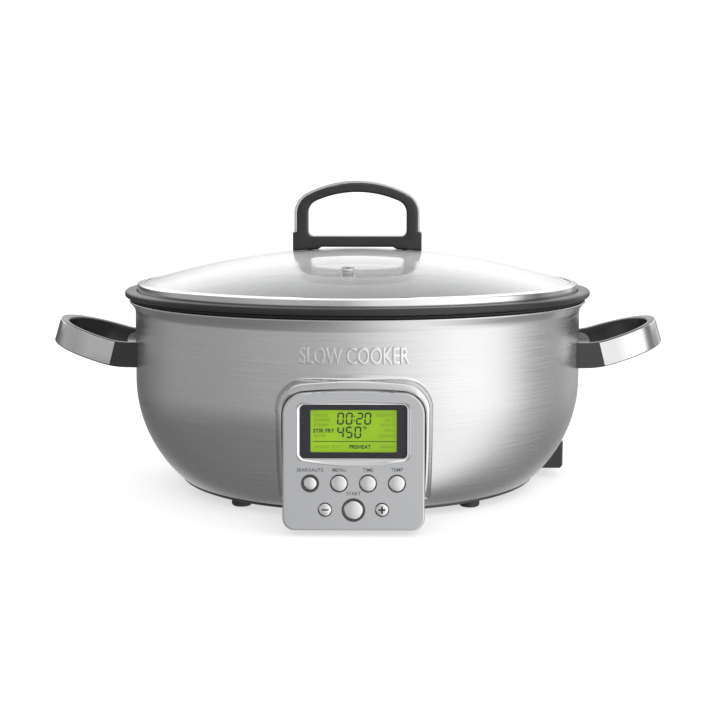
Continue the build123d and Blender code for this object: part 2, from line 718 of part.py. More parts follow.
def lcd_module():
    return on_panel(window(29, 3.8, 33.6, 0.6), -5.8, -2.7)


def button_collars():
    rings = []
    for _, x, y, cap_r, collar_r in BUTTONS:
        ring = Cylinder(collar_r, FACE_T + 0.3)
        ring = fillet(ring.edges().filter_by(GeomType.CIRCLE).sort_by(Axis.Z)[-1], 0.28)
        ring = Pos(x, y, (0.3 - FACE_T) / 2) * (ring - Cylinder(cap_r + RUN_GAP, 10))
        rings.append(PANEL * ring)
    return rings


def button(x, y, cap_r):
    """A domed cap with a retaining flange and a stem that meets its switch."""
    cap = Pos(0, 0, -1.0) * Cylinder(cap_r, 4.0)
    cap = fillet(cap.edges().filter_by(GeomType.CIRCLE).sort_by(Axis.Z)[-1], 0.9)
    flange = Pos(0, 0, -3.55) * Cylinder(cap_r + 0.9, 1.1)
    stem = Pos(0, 0, -5.3) * Cylinder(1.8, 2.5)
    return PANEL * (Pos(x, y) * (cap + flange + stem))


def button_board():
    return on_panel(window(35.2, -37, 37, 2), -10.6, -9.0)


def dome_switches():
    switches = []
    for _, x, y, _, _ in BUTTONS:
        base = Pos(x, y, -8.6) * Box(5.8, 5.8, 0.8)
        dome = Pos(x, y, -7.95) * Cylinder(1.9, 0.5)
        switches.append(PANEL * (base + dome))
    return switches


def control_housing():
    """Rear case: a tray through the shell's window, and walls from the cover to the shell."""
    tray = on_panel(window(TRAY_W, -TRAY_V, TRAY_V, 4), TRAY_BACK, -SKIRT_DEPTH - 0.1)
    walls = on_panel(panel_outline(-0.2), -60, -SKIRT_DEPTH - 0.1)
    walls = walls - bowl(-0.2) - rod(0, 0, -20, 20, BASE_R + 1.5)
    walls -= rod(0, 0, -20, CASE_LOW, 2 * RIM_R)
    case = tray + walls
    case -= on_panel(window(TRAY_W - 1.6, -TRAY_V + 1.6, TRAY_V - 1.6, 3), TRAY_BACK + 1.5, 0)
    hollow = on_panel(panel_outline(-2.2), -60, TRAY_BACK)
    case -= hollow - rod(0, 0, -20, CASE_LOW + 2, 2 * RIM_R)
    case -= PANEL * (Pos(0, -28.8, -14) * Cylinder(3, 8))
    for x, y in boss_places():
        case -= spot(x, y, -20, -9, 1.05)
    for x, y in [(-30, -33), (30, -33), (-30, 34), (30, 34)]:
        case += spot(x, y, TRAY_BACK + 1.4, -10.65, 2)
    return case.solids().sort_by(SortBy.VOLUME)[-1]


def panel_screws():
    screws = []
    for x, y in boss_places():
        screws.append(spot(x, y, TRAY_BACK - 1.6, TRAY_BACK, 2.2) + spot(x, y, TRAY_BACK, -4, 1.0))
    return screws


# --- write one file for each named piece ---------------------------------------------------
def pieces():
    made = {
        "housing_shell": housing_shell(),
        "panel_surround": panel_surround(),
        "support_ring": support_ring(),
        "inner_well": inner_well(),
        "insulation_blanket": insulation_blanket(),
        "heating_plate": heating_plate(),
        "heating_element": heating_element(),
        "element_terminals": element_terminals(),
        "plate_screws": plate_screws(),
        "reflector_plate": reflector_plate(),
        "sensor_bracket": sensor_bracket(),
        "sensor_spring": sensor_spring(),
        "temperature_sensor": temperature_sensor(),
        "thermal_fuse": thermal_fuse(),
        "base_plate": base_plate(),
        "feet": feet(),
        "base_screws": base_screws(),
        "power_board": power_board(),
        "board_standoffs": board_standoffs(),
        "board_screws": board_screws(),
        "relay": relay(),
        "transformer": transformer(),
        "capacitors": capacitors(),
        "internal_leads": internal_leads(),
        "power_inlet_housing": power_inlet_housing(),
        "inlet_pins": inlet_pins(),
        "right_handle_grip": handle_grip(),
        "right_handle_band": handle_band(),
        "right_handle_brackets": handle_brackets(),
        "handle_screws": handle_screws(),
        "cooking_pot": cooking_pot(),
        "lid_glass": lid_glass(),
        "lid_band": lid_band(),
        "steam_vent": steam_vent(),
        "lid_handle_grip": lid_handle_grip(),
        "lid_handle_strap": lid_handle_strap(),
        "lid_screws": lid_screws(),
        "lid_washers": lid_washers(),
        "panel_face": panel_face(),
        "lcd_bezel": lcd_bezel(),
        "lcd_lens": lcd_lens(),
        "lcd_frame": lcd_frame(),
        "lcd_module": lcd_module(),
        "button_collars": button_collars(),
        "button_board": button_board(),
        "dome_switches": dome_switches(),
        "control_housing": control_housing(),
        "panel_screws": panel_screws(),
    }
    for part in ("grip", "band", "brackets"):
        made["left_handle_" + part] = mirrored(made["right_handle_" + part])
    for name, x, y, cap_r, _ in BUTTONS:
        made["button_" + name] = button(x, y, cap_r)
    return made


os.makedirs("parts", exist_ok=True)
for node, piece in pieces().items():
    shape = Compound(children=[*piece]) if isinstance(piece, list) else piece
    export_step(shape, f"parts/{node}.step")
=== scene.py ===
import json
from math import asin, atan2, cos, pi, radians, sin, sqrt, tan

import bmesh
import bpy
from mathutils import Matrix, Vector


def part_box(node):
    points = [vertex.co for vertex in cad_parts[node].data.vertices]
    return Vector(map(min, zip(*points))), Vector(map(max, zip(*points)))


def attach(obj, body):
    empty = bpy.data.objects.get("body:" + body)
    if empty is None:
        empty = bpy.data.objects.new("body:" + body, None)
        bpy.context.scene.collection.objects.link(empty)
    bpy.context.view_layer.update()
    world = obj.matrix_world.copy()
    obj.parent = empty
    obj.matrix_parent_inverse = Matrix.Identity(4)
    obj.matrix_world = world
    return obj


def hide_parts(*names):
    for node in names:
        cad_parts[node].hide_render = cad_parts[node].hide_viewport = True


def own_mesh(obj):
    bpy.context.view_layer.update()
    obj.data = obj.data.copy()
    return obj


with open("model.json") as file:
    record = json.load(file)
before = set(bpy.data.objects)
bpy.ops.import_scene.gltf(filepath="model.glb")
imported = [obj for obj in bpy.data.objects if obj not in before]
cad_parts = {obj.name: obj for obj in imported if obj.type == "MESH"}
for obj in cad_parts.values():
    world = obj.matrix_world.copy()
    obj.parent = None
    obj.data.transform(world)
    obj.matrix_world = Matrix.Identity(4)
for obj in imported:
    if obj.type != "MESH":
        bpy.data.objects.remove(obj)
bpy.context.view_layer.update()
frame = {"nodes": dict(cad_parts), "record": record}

# A round programmable slow cooker, in metres. The front is -Y and the bowl's axis is Z.
MM = 0.001
nodes = frame["nodes"]

# Places taken from the frame.
SHELL_LOW, SHELL_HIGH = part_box("housing_shell")
LIP_R, LIP_Z, SHELL_FLOOR = SHELL_HIGH.x, SHELL_HIGH.z, SHELL_LOW.z
DOME_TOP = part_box("lid_glass")[1].z

# Sizes that the boxes don't give.
WALL_R = 163.2 * MM     # the bowl's side at the top of its lower curve
WALL_TOP_R = 162.7 * MM
BOWL_ARC_R = 95 * MM
BOWL_ARC_Z = 77.5 * MM  # height of the top of the bowl's lower curve
FLARE_Z = 129 * MM      # height where the side turns out into the lip
SHELL_T = 1.2 * MM
DOME_R = 520 * MM
GLASS_T = 4 * MM
LEAN = radians(5)       # how far the panel leans back
TURNS = 288             # steps round the axis on the large turned pieces


# --- mesh helpers --------------------------------------------------------------------------
def rounded(points, radii, steps=6):
    """A line of 2D points with an arc in each inner corner."""
    line = [Vector(points[0])]
    for before, corner, after, radius in zip(points, points[1:], points[2:], radii):
        at = Vector(corner)
        if radius <= 0:
            line.append(at)
            continue
        a = (Vector(before) - at).normalized()
        b = (Vector(after) - at).normalized()
        half = a.angle(b) / 2
        centre = at + (a + b).normalized() * (radius / sin(half))
        start = at + a * (radius / tan(half)) - centre
        end = at + b * (radius / tan(half)) - centre
        sweep = start.angle(end)
        for i in range(steps + 1):
            t = i / steps
            line.append(centre + (start * sin((1 - t) * sweep) + end * sin(t * sweep)) / sin(sweep))
    line.append(Vector(points[-1]))
    return line


def arc(centre, radius, start, end, steps):
    """Points on an arc, by angles in radians."""
    return [
        Vector((centre[0] + radius * cos(start + (end - start) * i / steps),
                centre[1] + radius * sin(start + (end - start) * i / steps)))
        for i in range(steps + 1)
    ]


def new_piece(name, verts, faces):
    mesh = bpy.data.meshes.new(name)
    mesh.from_pydata([tuple(v) for v in verts], [], faces)
    mesh.validate()
    mesh.update()
    mesh.shade_smooth()
    obj = bpy.data.objects.new(name, mesh)
    bpy.context.scene.collection.objects.link(obj)
    return obj


def turned(name, profile, steps=TURNS, closed=True, place=None):
    """A profile of (radius, height) turned about Z. Points on the axis become single points."""
    verts, rings, faces = [], [], []
    for r, z in profile:
        if r < 1e-7:
            rings.append([len(verts)] * steps)
            verts.append(Vector((0, 0, z)))
            continue
        rings.append(list(range(len(verts), len(verts) + steps)))
        for i in range(steps):
            a = 2 * pi * i / steps
            verts.append(Vector((r * cos(a), r * sin(a), z)))
    pairs = list(zip(rings, rings[1:]))
    if closed:
        pairs.append((rings[-1], rings[0]))
    for low, high in pairs:
        for i in range(steps):
            j = (i + 1) % steps
            corners = [low[i], low[j], high[j], high[i]]
            face = [c for k, c in enumerate(corners) if c not in corners[:k]]
            if len(face) > 2:
                faces.append(face)
    if place is not None:
        verts = [place @ v for v in verts]
    return recalculated(new_piece(name, verts, faces))


def recalculated(obj):
    """Faces turned to point outward."""
    bm = bmesh.new()
    bm.from_mesh(obj.data)
    bmesh.ops.recalc_face_normals(bm, faces=bm.faces)
    bm.to_mesh(obj.data)
    bm.free()
    return obj


def sharp_edges(obj, angle=35):
    """Smooth shading that keeps corners sharper than this angle."""
    obj.data.set_sharp_from_angle(angle=radians(angle))
    return obj


def joined(name, parts):
    """One smooth piece made of several, which it takes the place of."""
    bm = bmesh.new()
    for part in parts:
        bm.from_mesh(part.data)
    mesh = bpy.data.meshes.new(name)
    bm.to_mesh(mesh)
    bm.free()
    for part in parts:
        bpy.data.objects.remove(part)
    obj = bpy.data.objects.new(name, mesh)
    bpy.context.scene.collection.objects.link(obj)
    mesh.shade_smooth()
    return obj


def skinned(name, sections, looped=False):
    """A skin over a row of closed cross-sections with equal point counts: capped, or joined in a ring."""
    count = len(sections[0])
    verts = [p for section in sections for p in section]
    faces = []
    for s in range(len(sections) if looped else len(sections) - 1):
        a, b = s * count, (s + 1) % len(sections) * count
        for i in range(count):
            j = (i + 1) % count
            faces.append([a + i, a + j, b + j, b + i])
    if not looped:
        faces.append(list(range(count))[::-1])
        last = (len(sections) - 1) * count
        faces.append([last + i for i in range(count)])
    return recalculated(new_piece(name, verts, faces))


# --- materials -----------------------------------------------------------------------------
def material(name):
    mat = bpy.data.materials.new(name)
    mat.use_nodes = True
    tree = mat.node_tree
    return mat, tree, tree.nodes["Principled BSDF"]


def set_values(shader, **values):
    for key, value in values.items():
        shader.inputs[key.replace("_", " ")].default_value = value


def stretched_noise(tree, scale, detail=4, roughness=0.6, spread=(1, 1, 1)):
    """Noise in the object's own metres, stretched by a scale for each axis."""
    coords = tree.nodes.new("ShaderNodeTexCoord")
    mapping = tree.nodes.new("ShaderNodeMapping")
    mapping.inputs["Scale"].default_value = spread
    noise = tree.nodes.new("ShaderNodeTexNoise")
    noise.inputs["Scale"].default_value = scale
    noise.inputs["Detail"].default_value = detail
    noise.inputs["Roughness"].default_value = roughness
    tree.links.new(coords.outputs["Object"], mapping.inputs["Vector"])
    tree.links.new(mapping.outputs["Vector"], noise.inputs["Vector"])
    return noise.outputs["Fac"]


def math_node(tree, operation, *values, clamp=False):
    """The result of a maths node on numbers and other nodes' results."""
    node = tree.nodes.new("ShaderNodeMath")
    node.operation = operation
    node.use_clamp = clamp
    for socket, value in zip(node.inputs, values):
        if isinstance(value, (int, float)):
            socket.default_value = value
        else:
            tree.links.new(value, socket)
    return node.outputs["Value"]


def spread_value(tree, source, low, high):
    """Maps a value of 0.25 to 0.75 to a range of numbers."""
    node = tree.nodes.new("ShaderNodeMapRange")
    node.inputs["From Min"].default_value = 0.25
    node.inputs["From Max"].default_value = 0.75
    node.inputs["To Min"].default_value = low
    node.inputs["To Max"].default_value = high
    tree.links.new(source, node.inputs["Value"])
    return node.outputs["Result"]


def base_colour(tree, shader, source, low, high, low_at=0.3, high_at=0.7):
    """Gives the shader a base colour that goes from one colour to another with the source."""
    node = tree.nodes.new("ShaderNodeValToRGB")
    for element, colour, at in zip(node.color_ramp.elements, (low, high), (low_at, high_at)):
        element.position = at
        element.color = (*colour, 1)
    tree.links.new(source, node.inputs["Fac"])
    tree.links.new(node.outputs["Color"], shader.inputs["Base Color"])
    return node.outputs["Color"]


def uneven_roughness(tree, shader, source, low, high):
    tree.links.new(spread_value(tree, source, low, high), shader.inputs["Roughness"])


def bump(tree, shader, source, strength, distance):
    node = tree.nodes.new("ShaderNodeBump")
    node.inputs["Strength"].default_value = strength
    node.inputs["Distance"].default_value = distance
    tree.links.new(source, node.inputs["Height"])
    tree.links.new(node.outputs["Normal"], shader.inputs["Normal"])


def brushed_steel(name, base=0.62, rough=(0.22, 0.3), anisotropic=0.8, spread=(22, 22, 2400)):
    """Stainless steel with fine brush lines that run round the bowl."""
    mat, tree, shader = material(name)
    lines = stretched_noise(tree, 1.0, 4, 0.6, spread)
    cloud = stretched_noise(tree, 14, 3, 0.5)
    base_colour(tree, shader, lines, (base * 0.9,) * 3, (base * 1.07,) * 3)
    line_rough = spread_value(tree, lines, *rough)
    cloud_rough = spread_value(tree, cloud, -0.02, 0.03)
    tree.links.new(math_node(tree, "ADD", line_rough, cloud_rough), shader.inputs["Roughness"])
    set_values(shader, Metallic=1.0, Anisotropic=anisotropic)
    tangent = tree.nodes.new("ShaderNodeTangent")
    tangent.direction_type = "RADIAL"
    tangent.axis = "Z"
    tree.links.new(tangent.outputs["Tangent"], shader.inputs["Tangent"])
    bump(tree, shader, lines, 0.08, 0.00003)
    return mat


def polished_steel(name, base=0.74, rough=(0.06, 0.14)):
    """Polished steel with faint wipe marks and hairline scratches."""
    mat, tree, shader = material(name)
    wipes = stretched_noise(tree, 30)
    hairs = stretched_noise(tree, 220, 3, 0.8, (1, 1, 6))
    base_colour(tree, shader, wipes, (base * 0.95,) * 3, (base * 1.03,) * 3)
    uneven_roughness(tree, shader, wipes, *rough)
    set_values(shader, Metallic=1.0)
    bump(tree, shader, hairs, 0.03, 0.00005)
    return mat


def moulded_plastic(name, colour, rough=(0.38, 0.5), grain=2600, depth=0.25):
    """Moulded plastic with a fine spark-eroded grain and slightly polished patches."""
    mat, tree, shader = material(name)
    fine = stretched_noise(tree, grain, 3, 0.6)
    cloud = stretched_noise(tree, 40, 3, 0.5)
    base_colour(tree, shader, cloud, colour, [c * 1.25 + 0.004 for c in colour])
    uneven_roughness(tree, shader, cloud, *rough)
    bump(tree, shader, fine, depth, 0.00006)
    return mat


def rubber(name, colour=(0.02, 0.02, 0.022)):
    return moulded_plastic(name, colour, (0.55, 0.75), 1400, 0.4)


def coated_metal(name, colour=(0.016, 0.016, 0.017), rough=(0.3, 0.42)):
    """Dark ceramic coating over aluminium, with a fine metallic fleck."""
    mat, tree, shader = material(name)
    flecks = stretched_noise(tree, 1900, 2, 0.5)
    cloud = stretched_noise(tree, 25, 3, 0.5)
    base_colour(tree, shader, flecks, colour, [c * 2.4 for c in colour], 0.45, 0.72)
    uneven_roughness(tree, shader, cloud, *rough)
    set_values(shader, Specular_IOR_Level=0.4)
    bump(tree, shader, flecks, 0.08, 0.00004)
    return mat


def satin_silver(name, base=0.56):
    """Silver lacquer on plastic: fine metallic flake, soft sheen."""
    mat, tree, shader = material(name)
    flake = stretched_noise(tree, 5200, 2, 0.5)
    cloud = stretched_noise(tree, 18, 2, 0.5)
    base_colour(tree, shader, flake, (base * 0.93, base * 0.94, base * 0.96),
                (base * 1.05, base * 1.06, base * 1.08))
    uneven_roughness(tree, shader, cloud, 0.3, 0.36)
    set_values(shader, Metallic=0.85, Coat_Weight=0.35, Coat_Roughness=0.08)
    bump(tree, shader, flake, 0.05, 0.00003)
    return mat


GLASS_FALL = 7          # how fast the glass clears as it turns to face the view


def mixed_shaders(tree, share, under, over):
    """Two shaders mixed, where the share is the second one's."""
    node = tree.nodes.new("ShaderNodeMixShader")
    tree.links.new(share, node.inputs["Fac"])
    tree.links.new(under, node.inputs[1])
    tree.links.new(over, node.inputs[2])
    return node.outputs["Shader"]


def thin_glass(name, tint=(0.97, 0.985, 0.98), face_on=0.03, edge_on=0.4, haze=0.0, edge_haze=0.0):
    """Clear glass that lets light straight through, with reflections and a film that grow by angle."""
    mat, tree, film = material(name)
    set_values(film, Roughness=0.6, Base_Color=(0.76, 0.76, 0.76, 1))
    clear = tree.nodes.new("ShaderNodeBsdfTransparent")
    clear.inputs["Color"].default_value = (*tint, 1)
    gloss = tree.nodes.new("ShaderNodeBsdfGlossy")
    gloss.inputs["Color"].default_value = (1, 1, 1, 1)
    wipe = stretched_noise(tree, 22)
    uneven_roughness(tree, gloss, wipe, 0.02, 0.06)
    facing = tree.nodes.new("ShaderNodeLayerWeight").outputs["Facing"]
    grazing = math_node(tree, "POWER", facing, GLASS_FALL)
    gloss_share = math_node(tree, "MULTIPLY_ADD", grazing, edge_on, face_on, clamp=True)
    wiped_haze = spread_value(tree, wipe, haze * 0.85, haze * 1.15)
    film_share = math_node(tree, "MULTIPLY_ADD", grazing, edge_haze, wiped_haze, clamp=True)
    filmed = mixed_shaders(tree, film_share, clear.outputs["BSDF"], film.outputs["BSDF"])
    whole = mixed_shaders(tree, gloss_share, filmed, gloss.outputs["BSDF"])
    tree.links.new(whole, tree.nodes["Material Output"].inputs["Surface"])
    return mat


def display_glow(name):
    """Back-lit yellow-green liquid crystal display, a little uneven."""
    mat, tree, shader = material(name)
    cloud = stretched_noise(tree, 60, 2, 0.5)
    tone = base_colour(tree, shader, cloud, (0.215, 0.385, 0.0), (0.25, 0.435, 0.0))
    tree.links.new(tone, shader.inputs["Emission Color"])
    set_values(shader, Emission_Strength=0.45, Roughness=0.35)
    return mat


def printed(name, colour):
    """Screen-printed ink with a slight tooth."""
    mat, tree, shader = material(name)
    tooth = stretched_noise(tree, 4000, 2, 0.5)
    base_colour(tree, shader, tooth, colour, [c * 1.3 + 0.003 for c in colour])
    set_values(shader, Roughness=0.4)
    return mat


def fibre(name):
    """Pale matted fibres."""
    mat, tree, shader = material(name)
    hair = stretched_noise(tree, 500, 6, 0.8, (1, 1, 4))
    base_colour(tree, shader, hair, (0.55, 0.52, 0.44), (0.85, 0.83, 0.76))
    set_values(shader, Roughness=0.95)
    bump(tree, shader, hair, 0.8, 0.0006)
    return mat


def cast_aluminium(name):
    """Aluminium with the grain of its casting mould."""
    mat, tree, shader = material(name)
    grain = stretched_noise(tree, 700, 5, 0.7)
    base_colour(tree, shader, grain, (0.42, 0.42, 0.43), (0.6, 0.6, 0.61))
    set_values(shader, Metallic=1.0, Roughness=0.5)
    bump(tree, shader, grain, 0.3, 0.0002)
    return mat


STEEL = brushed_steel("steel_brushed")
ROLL_STEEL = polished_steel("steel_roll", 0.64, (0.09, 0.15))
WORD_STEEL = polished_steel("steel_words", 0.72, (0.1, 0.18))
INK_BLACK = printed("printed_black", (0.012, 0.012, 0.012))
LINER = brushed_steel("steel_liner", 0.5, (0.32, 0.45), 0.3, (40, 40, 300))
CHROME = polished_steel("steel_polished", 0.66)
BUTTON_CHROME = polished_steel("button_chrome", 0.8, (0.04, 0.08))
SCREW_BLACK = coated_metal("screw_black", (0.02, 0.02, 0.021), (0.35, 0.5))
BLACK = moulded_plastic("black_plastic", (0.019, 0.019, 0.02), (0.24, 0.34))
RING = moulded_plastic("ring_plastic", (0.006, 0.006, 0.006), (0.6, 0.75))
RUBBER = rubber("black_rubber")
POT = coated_metal("pot_coating")
SILVER = satin_silver("satin_silver")
GLASS = thin_glass("lid_glass_clear", edge_on=1.0, haze=0.03, edge_haze=2.0)
LENS = thin_glass("lens_clear", (0.98, 0.98, 0.99), 0.006, 0.3)
LENS_FRAME = moulded_plastic("lens_frame_black", (0.008, 0.008, 0.016), (0.5, 0.6), 3000, 0.03)
GLOW = display_glow("display_green")
INK = printed("printed_grey", (0.06, 0.06, 0.065))
SEGMENTS = printed("display_segments", (0.008, 0.02, 0.004))
GHOST = printed("display_ghost", (0.15, 0.28, 0.0))
COLLAR = moulded_plastic("collar_dark", (0.05, 0.05, 0.053), (0.25, 0.35), 3000, 0.05)
BOARD = moulded_plastic("board_green", (0.02, 0.16, 0.06), (0.3, 0.45), 900, 0.1)
COMPONENT = moulded_plastic("component_black", (0.02, 0.02, 0.022))
WINDING = moulded_plastic("winding_copper", (0.3, 0.12, 0.04), (0.25, 0.4), 900, 0.3)
LEAD = rubber("lead_red", (0.35, 0.03, 0.02))
SILICONE = rubber("silicone_grey", (0.5, 0.5, 0.48))
BRASS = polished_steel("brass_plain", 0.6, (0.2, 0.35))
FIBRE = fibre("fibre_blanket")
CAST = cast_aluminium("cast_plate_grey")

BY_SLOT = {
    "housing_steel": STEEL, "polished_steel": CHROME, "hidden_steel": LINER, "pot_coating": POT,
    "cast_plate": CAST, "lid_glass": GLASS, "black_plastic": BLACK, "ring_plastic": RING,
    "rubber": RUBBER, "panel_silver": SILVER, "button_chrome": BUTTON_CHROME,
    "collar_dark": COLLAR, "lens": LENS, "lens_frame": LENS_FRAME, "display": GLOW,
    "circuit_board": BOARD, "fibre": FIBRE, "component_black": COMPONENT, "winding": WINDING,
    "lead_cover": LEAD, "brass_parts": BRASS, "silicone": SILICONE,
}

# Nodes whose finish isn't their slot's usual one.
BY_NODE = {"lid_screws": SCREW_BLACK, "lid_washers": RUBBER}


def paint(obj, mat):
    obj.data.materials.clear()
    obj.data.materials.append(mat)


def paint_cad_nodes():
    for part in frame["record"]["subparts"]:
        obj = nodes[part["node"]]
        if not obj.material_slots:
            obj.data.materials.append(None)
        for each in obj.material_slots:
            each.material = BY_NODE.get(part["node"], BY_SLOT[part["material_slot"]])


def finished(obj, mat, body, slot, *replaced):
    """Gives a piece its material and body, and hides the CAD nodes that it stands for. The slot is not used.
    """
    paint(obj, mat)
    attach(obj, body)
    if replaced:
        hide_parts(*replaced)


# --- bowl ----------------------------------------------------------------------------------
def bowl_r(z, inset=0.0):
    """Radius of the bowl's outer side at a height below the flare."""
    if z >= BOWL_ARC_Z:
        t = (z - BOWL_ARC_Z) / (FLARE_Z - BOWL_ARC_Z)
        return WALL_R + (WALL_TOP_R - WALL_R) * t - inset
    arc_r = BOWL_ARC_R - inset
    return WALL_R - BOWL_ARC_R + sqrt(arc_r**2 - (BOWL_ARC_Z - z) ** 2)


def make_bowl():
    flange_r, flange_bend_r = 118 * MM, 125 * MM
    bend, nose = 8 * MM, 0.9 * MM
    centre = (WALL_R - BOWL_ARC_R, BOWL_ARC_Z)
    start = -asin((BOWL_ARC_Z - SHELL_FLOOR) / BOWL_ARC_R)
    outer = arc(centre, BOWL_ARC_R, start, 0, 40)
    top = rounded([(WALL_R, BOWL_ARC_Z), (WALL_TOP_R, FLARE_Z), (LIP_R, LIP_Z)], [bend], 10)
    wall = [outer[-1].lerp(top[1], t / 8) for t in range(1, 8)]
    flange = [Vector((flange_r, SHELL_FLOOR)), Vector((flange_bend_r, SHELL_FLOOR))]
    outside = flange + outer + wall + top[1:]
    outside[-1] = outside[-1] + (outside[-2] - outside[-1]).normalized() * 1.4 * MM
    lip = arc((LIP_R - nose, LIP_Z - nose), nose, -0.5, pi * 0.75, 10)
    inner_arc = BOWL_ARC_R - SHELL_T
    start = -asin((BOWL_ARC_Z - SHELL_FLOOR - SHELL_T) / inner_arc)
    inside = arc(centre, inner_arc, start, 0, 30)
    flare = rounded([(WALL_R - SHELL_T, BOWL_ARC_Z), (WALL_TOP_R - SHELL_T, FLARE_Z),
                     (LIP_R - SHELL_T, LIP_Z - 0.6 * MM)], [bend], 8)
    inside = [Vector((flange_r, SHELL_FLOOR + SHELL_T))] + inside + flare[1:]
    bowl = turned("housing_bowl", outside + lip + inside[::-1])
    finished(sharp_edges(bowl), STEEL, "housing", "housing_steel", "housing_shell")


# --- side handles --------------------------------------------------------------------------
LOOP_W, LOOP_TAPER = 47 * MM, 0.115
LOOP_LENGTH, LOOP_CORNER = 66.4 * MM, 43 * MM
LOOP_HALF, LOOP_T = 9 * MM, 6.5 * MM
BAND_T, BAND_HALF = 1.3 * MM, 8.5 * MM
LOOP_RISE = radians(17.2)
ROOT_X, ROOT_Z = 158 * MM, 97.64 * MM
BEND_START, BEND_R = 6.4 * MM, 60 * MM
BAND_START, BAND_SLANT = 16.75 * MM, -0.083
SLANT_FADE = 12 * MM    # length over which the slant of the band's start dies out
ARM_END = 24 * MM       # the arms are straight up to here
GRIP_START = -1 * MM


def on_loop(u, v, w):
    """Place of a point on the handle: along the arm, across, and off its middle."""
    if u <= BEND_START:
        x, z, turn = u, 0, 0
    else:
        turn = min((u - BEND_START) / BEND_R, LOOP_RISE)
        rest = u - BEND_START - BEND_R * turn
        x = BEND_START + BEND_R * sin(turn) + rest * cos(turn)
        z = BEND_R * (1 - cos(turn)) + rest * sin(turn)
    return Vector((ROOT_X + x - w * sin(turn), v, ROOT_Z + z + w * cos(turn)))


def loop_path(start, arm_steps=26, corner_steps=48):
    """Plan of the loop's outer side as (along, across, outward) from the near arm to the far arm."""
    lean = atan2(1, LOOP_TAPER)
    stretch = sqrt(1 + LOOP_TAPER**2)
    centre_u = LOOP_LENGTH - LOOP_CORNER
    centre_v = -(LOOP_W - LOOP_TAPER * centre_u) + LOOP_CORNER * stretch
    finish = centre_u + LOOP_CORNER * cos(lean)
    near = []
    for i in range(arm_steps):
        u = start + (finish - start) * i / arm_steps
        near.append((u, -(LOOP_W - LOOP_TAPER * u), (cos(lean), -sin(lean))))
    for i in range(corner_steps + 1):
        a = -lean + lean * i / corner_steps
        near.append((centre_u + LOOP_CORNER * cos(a), centre_v + LOOP_CORNER * sin(a), (cos(a), sin(a))))
    far = [(u, -v, (n[0], -n[1])) for u, v, n in reversed(near)]
    return near + far


def loop_sections(path, outline, seated=False):
    """Cross-sections of (inset, off-middle) points along the path, slanted where the band starts."""
    sections = []
    for index, (u, v, normal) in enumerate(path):
        fade = min(1.0, max(0.0, 1 - (u - BAND_START) / SLANT_FADE))
        points = []
        for inset, w in (outline(u) if callable(outline) else outline):
            pu, pv = u - normal[0] * inset, v - normal[1] * inset
            pu += BAND_SLANT * w * fade
            if seated and index in (0, len(path) - 1):
                pu = sqrt(WALL_R**2 - pv**2) - 0.5 * MM - ROOT_X
            points.append(on_loop(pu, pv, w))
        sections.append(points)
    return sections


def rounded_box(in0, in1, half, r_out, r_in, steps=4):
    """Outline of a bar's cross-section as (inset, off-middle) points."""
    points = []
    for inset, w, ax, az, r in ((in0, half, 1, -1, r_out), (in1, half, -1, -1, r_in),
                                (in1, -half, -1, 1, r_in), (in0, -half, 1, 1, r_out)):
        cx, cz = inset + ax * r, w + az * r
        corner = [(cx - ax * r * cos(t * pi / 2 / steps), cz - az * r * sin(t * pi / 2 / steps))
                  for t in range(steps + 1)]
        points += corner if ax == -az else corner[::-1]
    return points


def grip_outline(u):
    """The black bar: full where it leaves the housing, cut back where the band lies on it."""
    banded = u > BAND_START - 0.1 * MM
    skin = 0.5 * MM if banded else 0.0
    well = BAND_T + 0.05 * MM if banded else 0.0
    edge = BAND_HALF + 0.05 * MM
    shoulder = LOOP_HALF - 0.2 * MM
    bevel = skin + 0.25 * MM
    inner = [p for p in rounded_box(skin, LOOP_T, LOOP_HALF, 0.5 * MM, 1.8 * MM) if p[0] > LOOP_T / 2]
    upper = [(skin, edge), (skin, shoulder), (bevel, LOOP_HALF)]
    lower = [(bevel, -LOOP_HALF), (skin, -shoulder), (skin, -edge)]
    return upper + inner + lower + [(well, -edge), (well, edge)]


def with_step(path, at):
    """Adds the place where the band starts to both arms, so that the cut there is crisp."""
    out = []
    for before, after in zip(path, path[1:]):
        out.append(before)
        for offset in (-0.2 * MM, 0.0):
            mark = at + offset
            low, high = sorted((before[0], after[0]))
            if low < mark < high < ARM_END and abs(before[2][1]) > 0.9:
                t = (mark - before[0]) / (after[0] - before[0])
                out.append((mark, before[1] + (after[1] - before[1]) * t, before[2]))
    out.append(path[-1])
    return out


def mirrored_piece(obj, name):
    mesh = obj.data.copy()
    mesh.transform(Matrix.Scale(-1, 4, (1, 0, 0)))
    mesh.flip_normals()
    copy = bpy.data.objects.new(name, mesh)
    bpy.context.scene.collection.objects.link(copy)
    return copy


def make_side_handles():
    path = with_step(loop_path(GRIP_START), BAND_START)
    grip = skinned("right_grip_loop", loop_sections(path, grip_outline, seated=True))
    sharp_edges(grip, 40)
    left = mirrored_piece(grip, "left_grip_loop")
    finished(grip, BLACK, "housing", "black_plastic", "right_handle_grip")
    finished(left, BLACK, "housing", "black_plastic", "left_handle_grip")
    outline = rounded_box(0, BAND_T, BAND_HALF, 0.45 * MM, 0.2 * MM)
    band = skinned("right_band_loop", loop_sections(loop_path(BAND_START + 0.05 * MM), outline))
    sharp_edges(band, 50)
    left = mirrored_piece(band, "left_band_loop")
    finished(band, CHROME, "housing", "polished_steel", "right_handle_band")
    finished(left, CHROME, "housing", "polished_steel", "left_handle_band")


# --- lid -----------------------------------------------------------------------------------
DOME_Z = DOME_TOP - DOME_R
GLASS_EDGE_R = 159.6 * MM


def dome_z(r, drop=0.0):
    return DOME_Z + sqrt((DOME_R - drop)**2 - r * r)


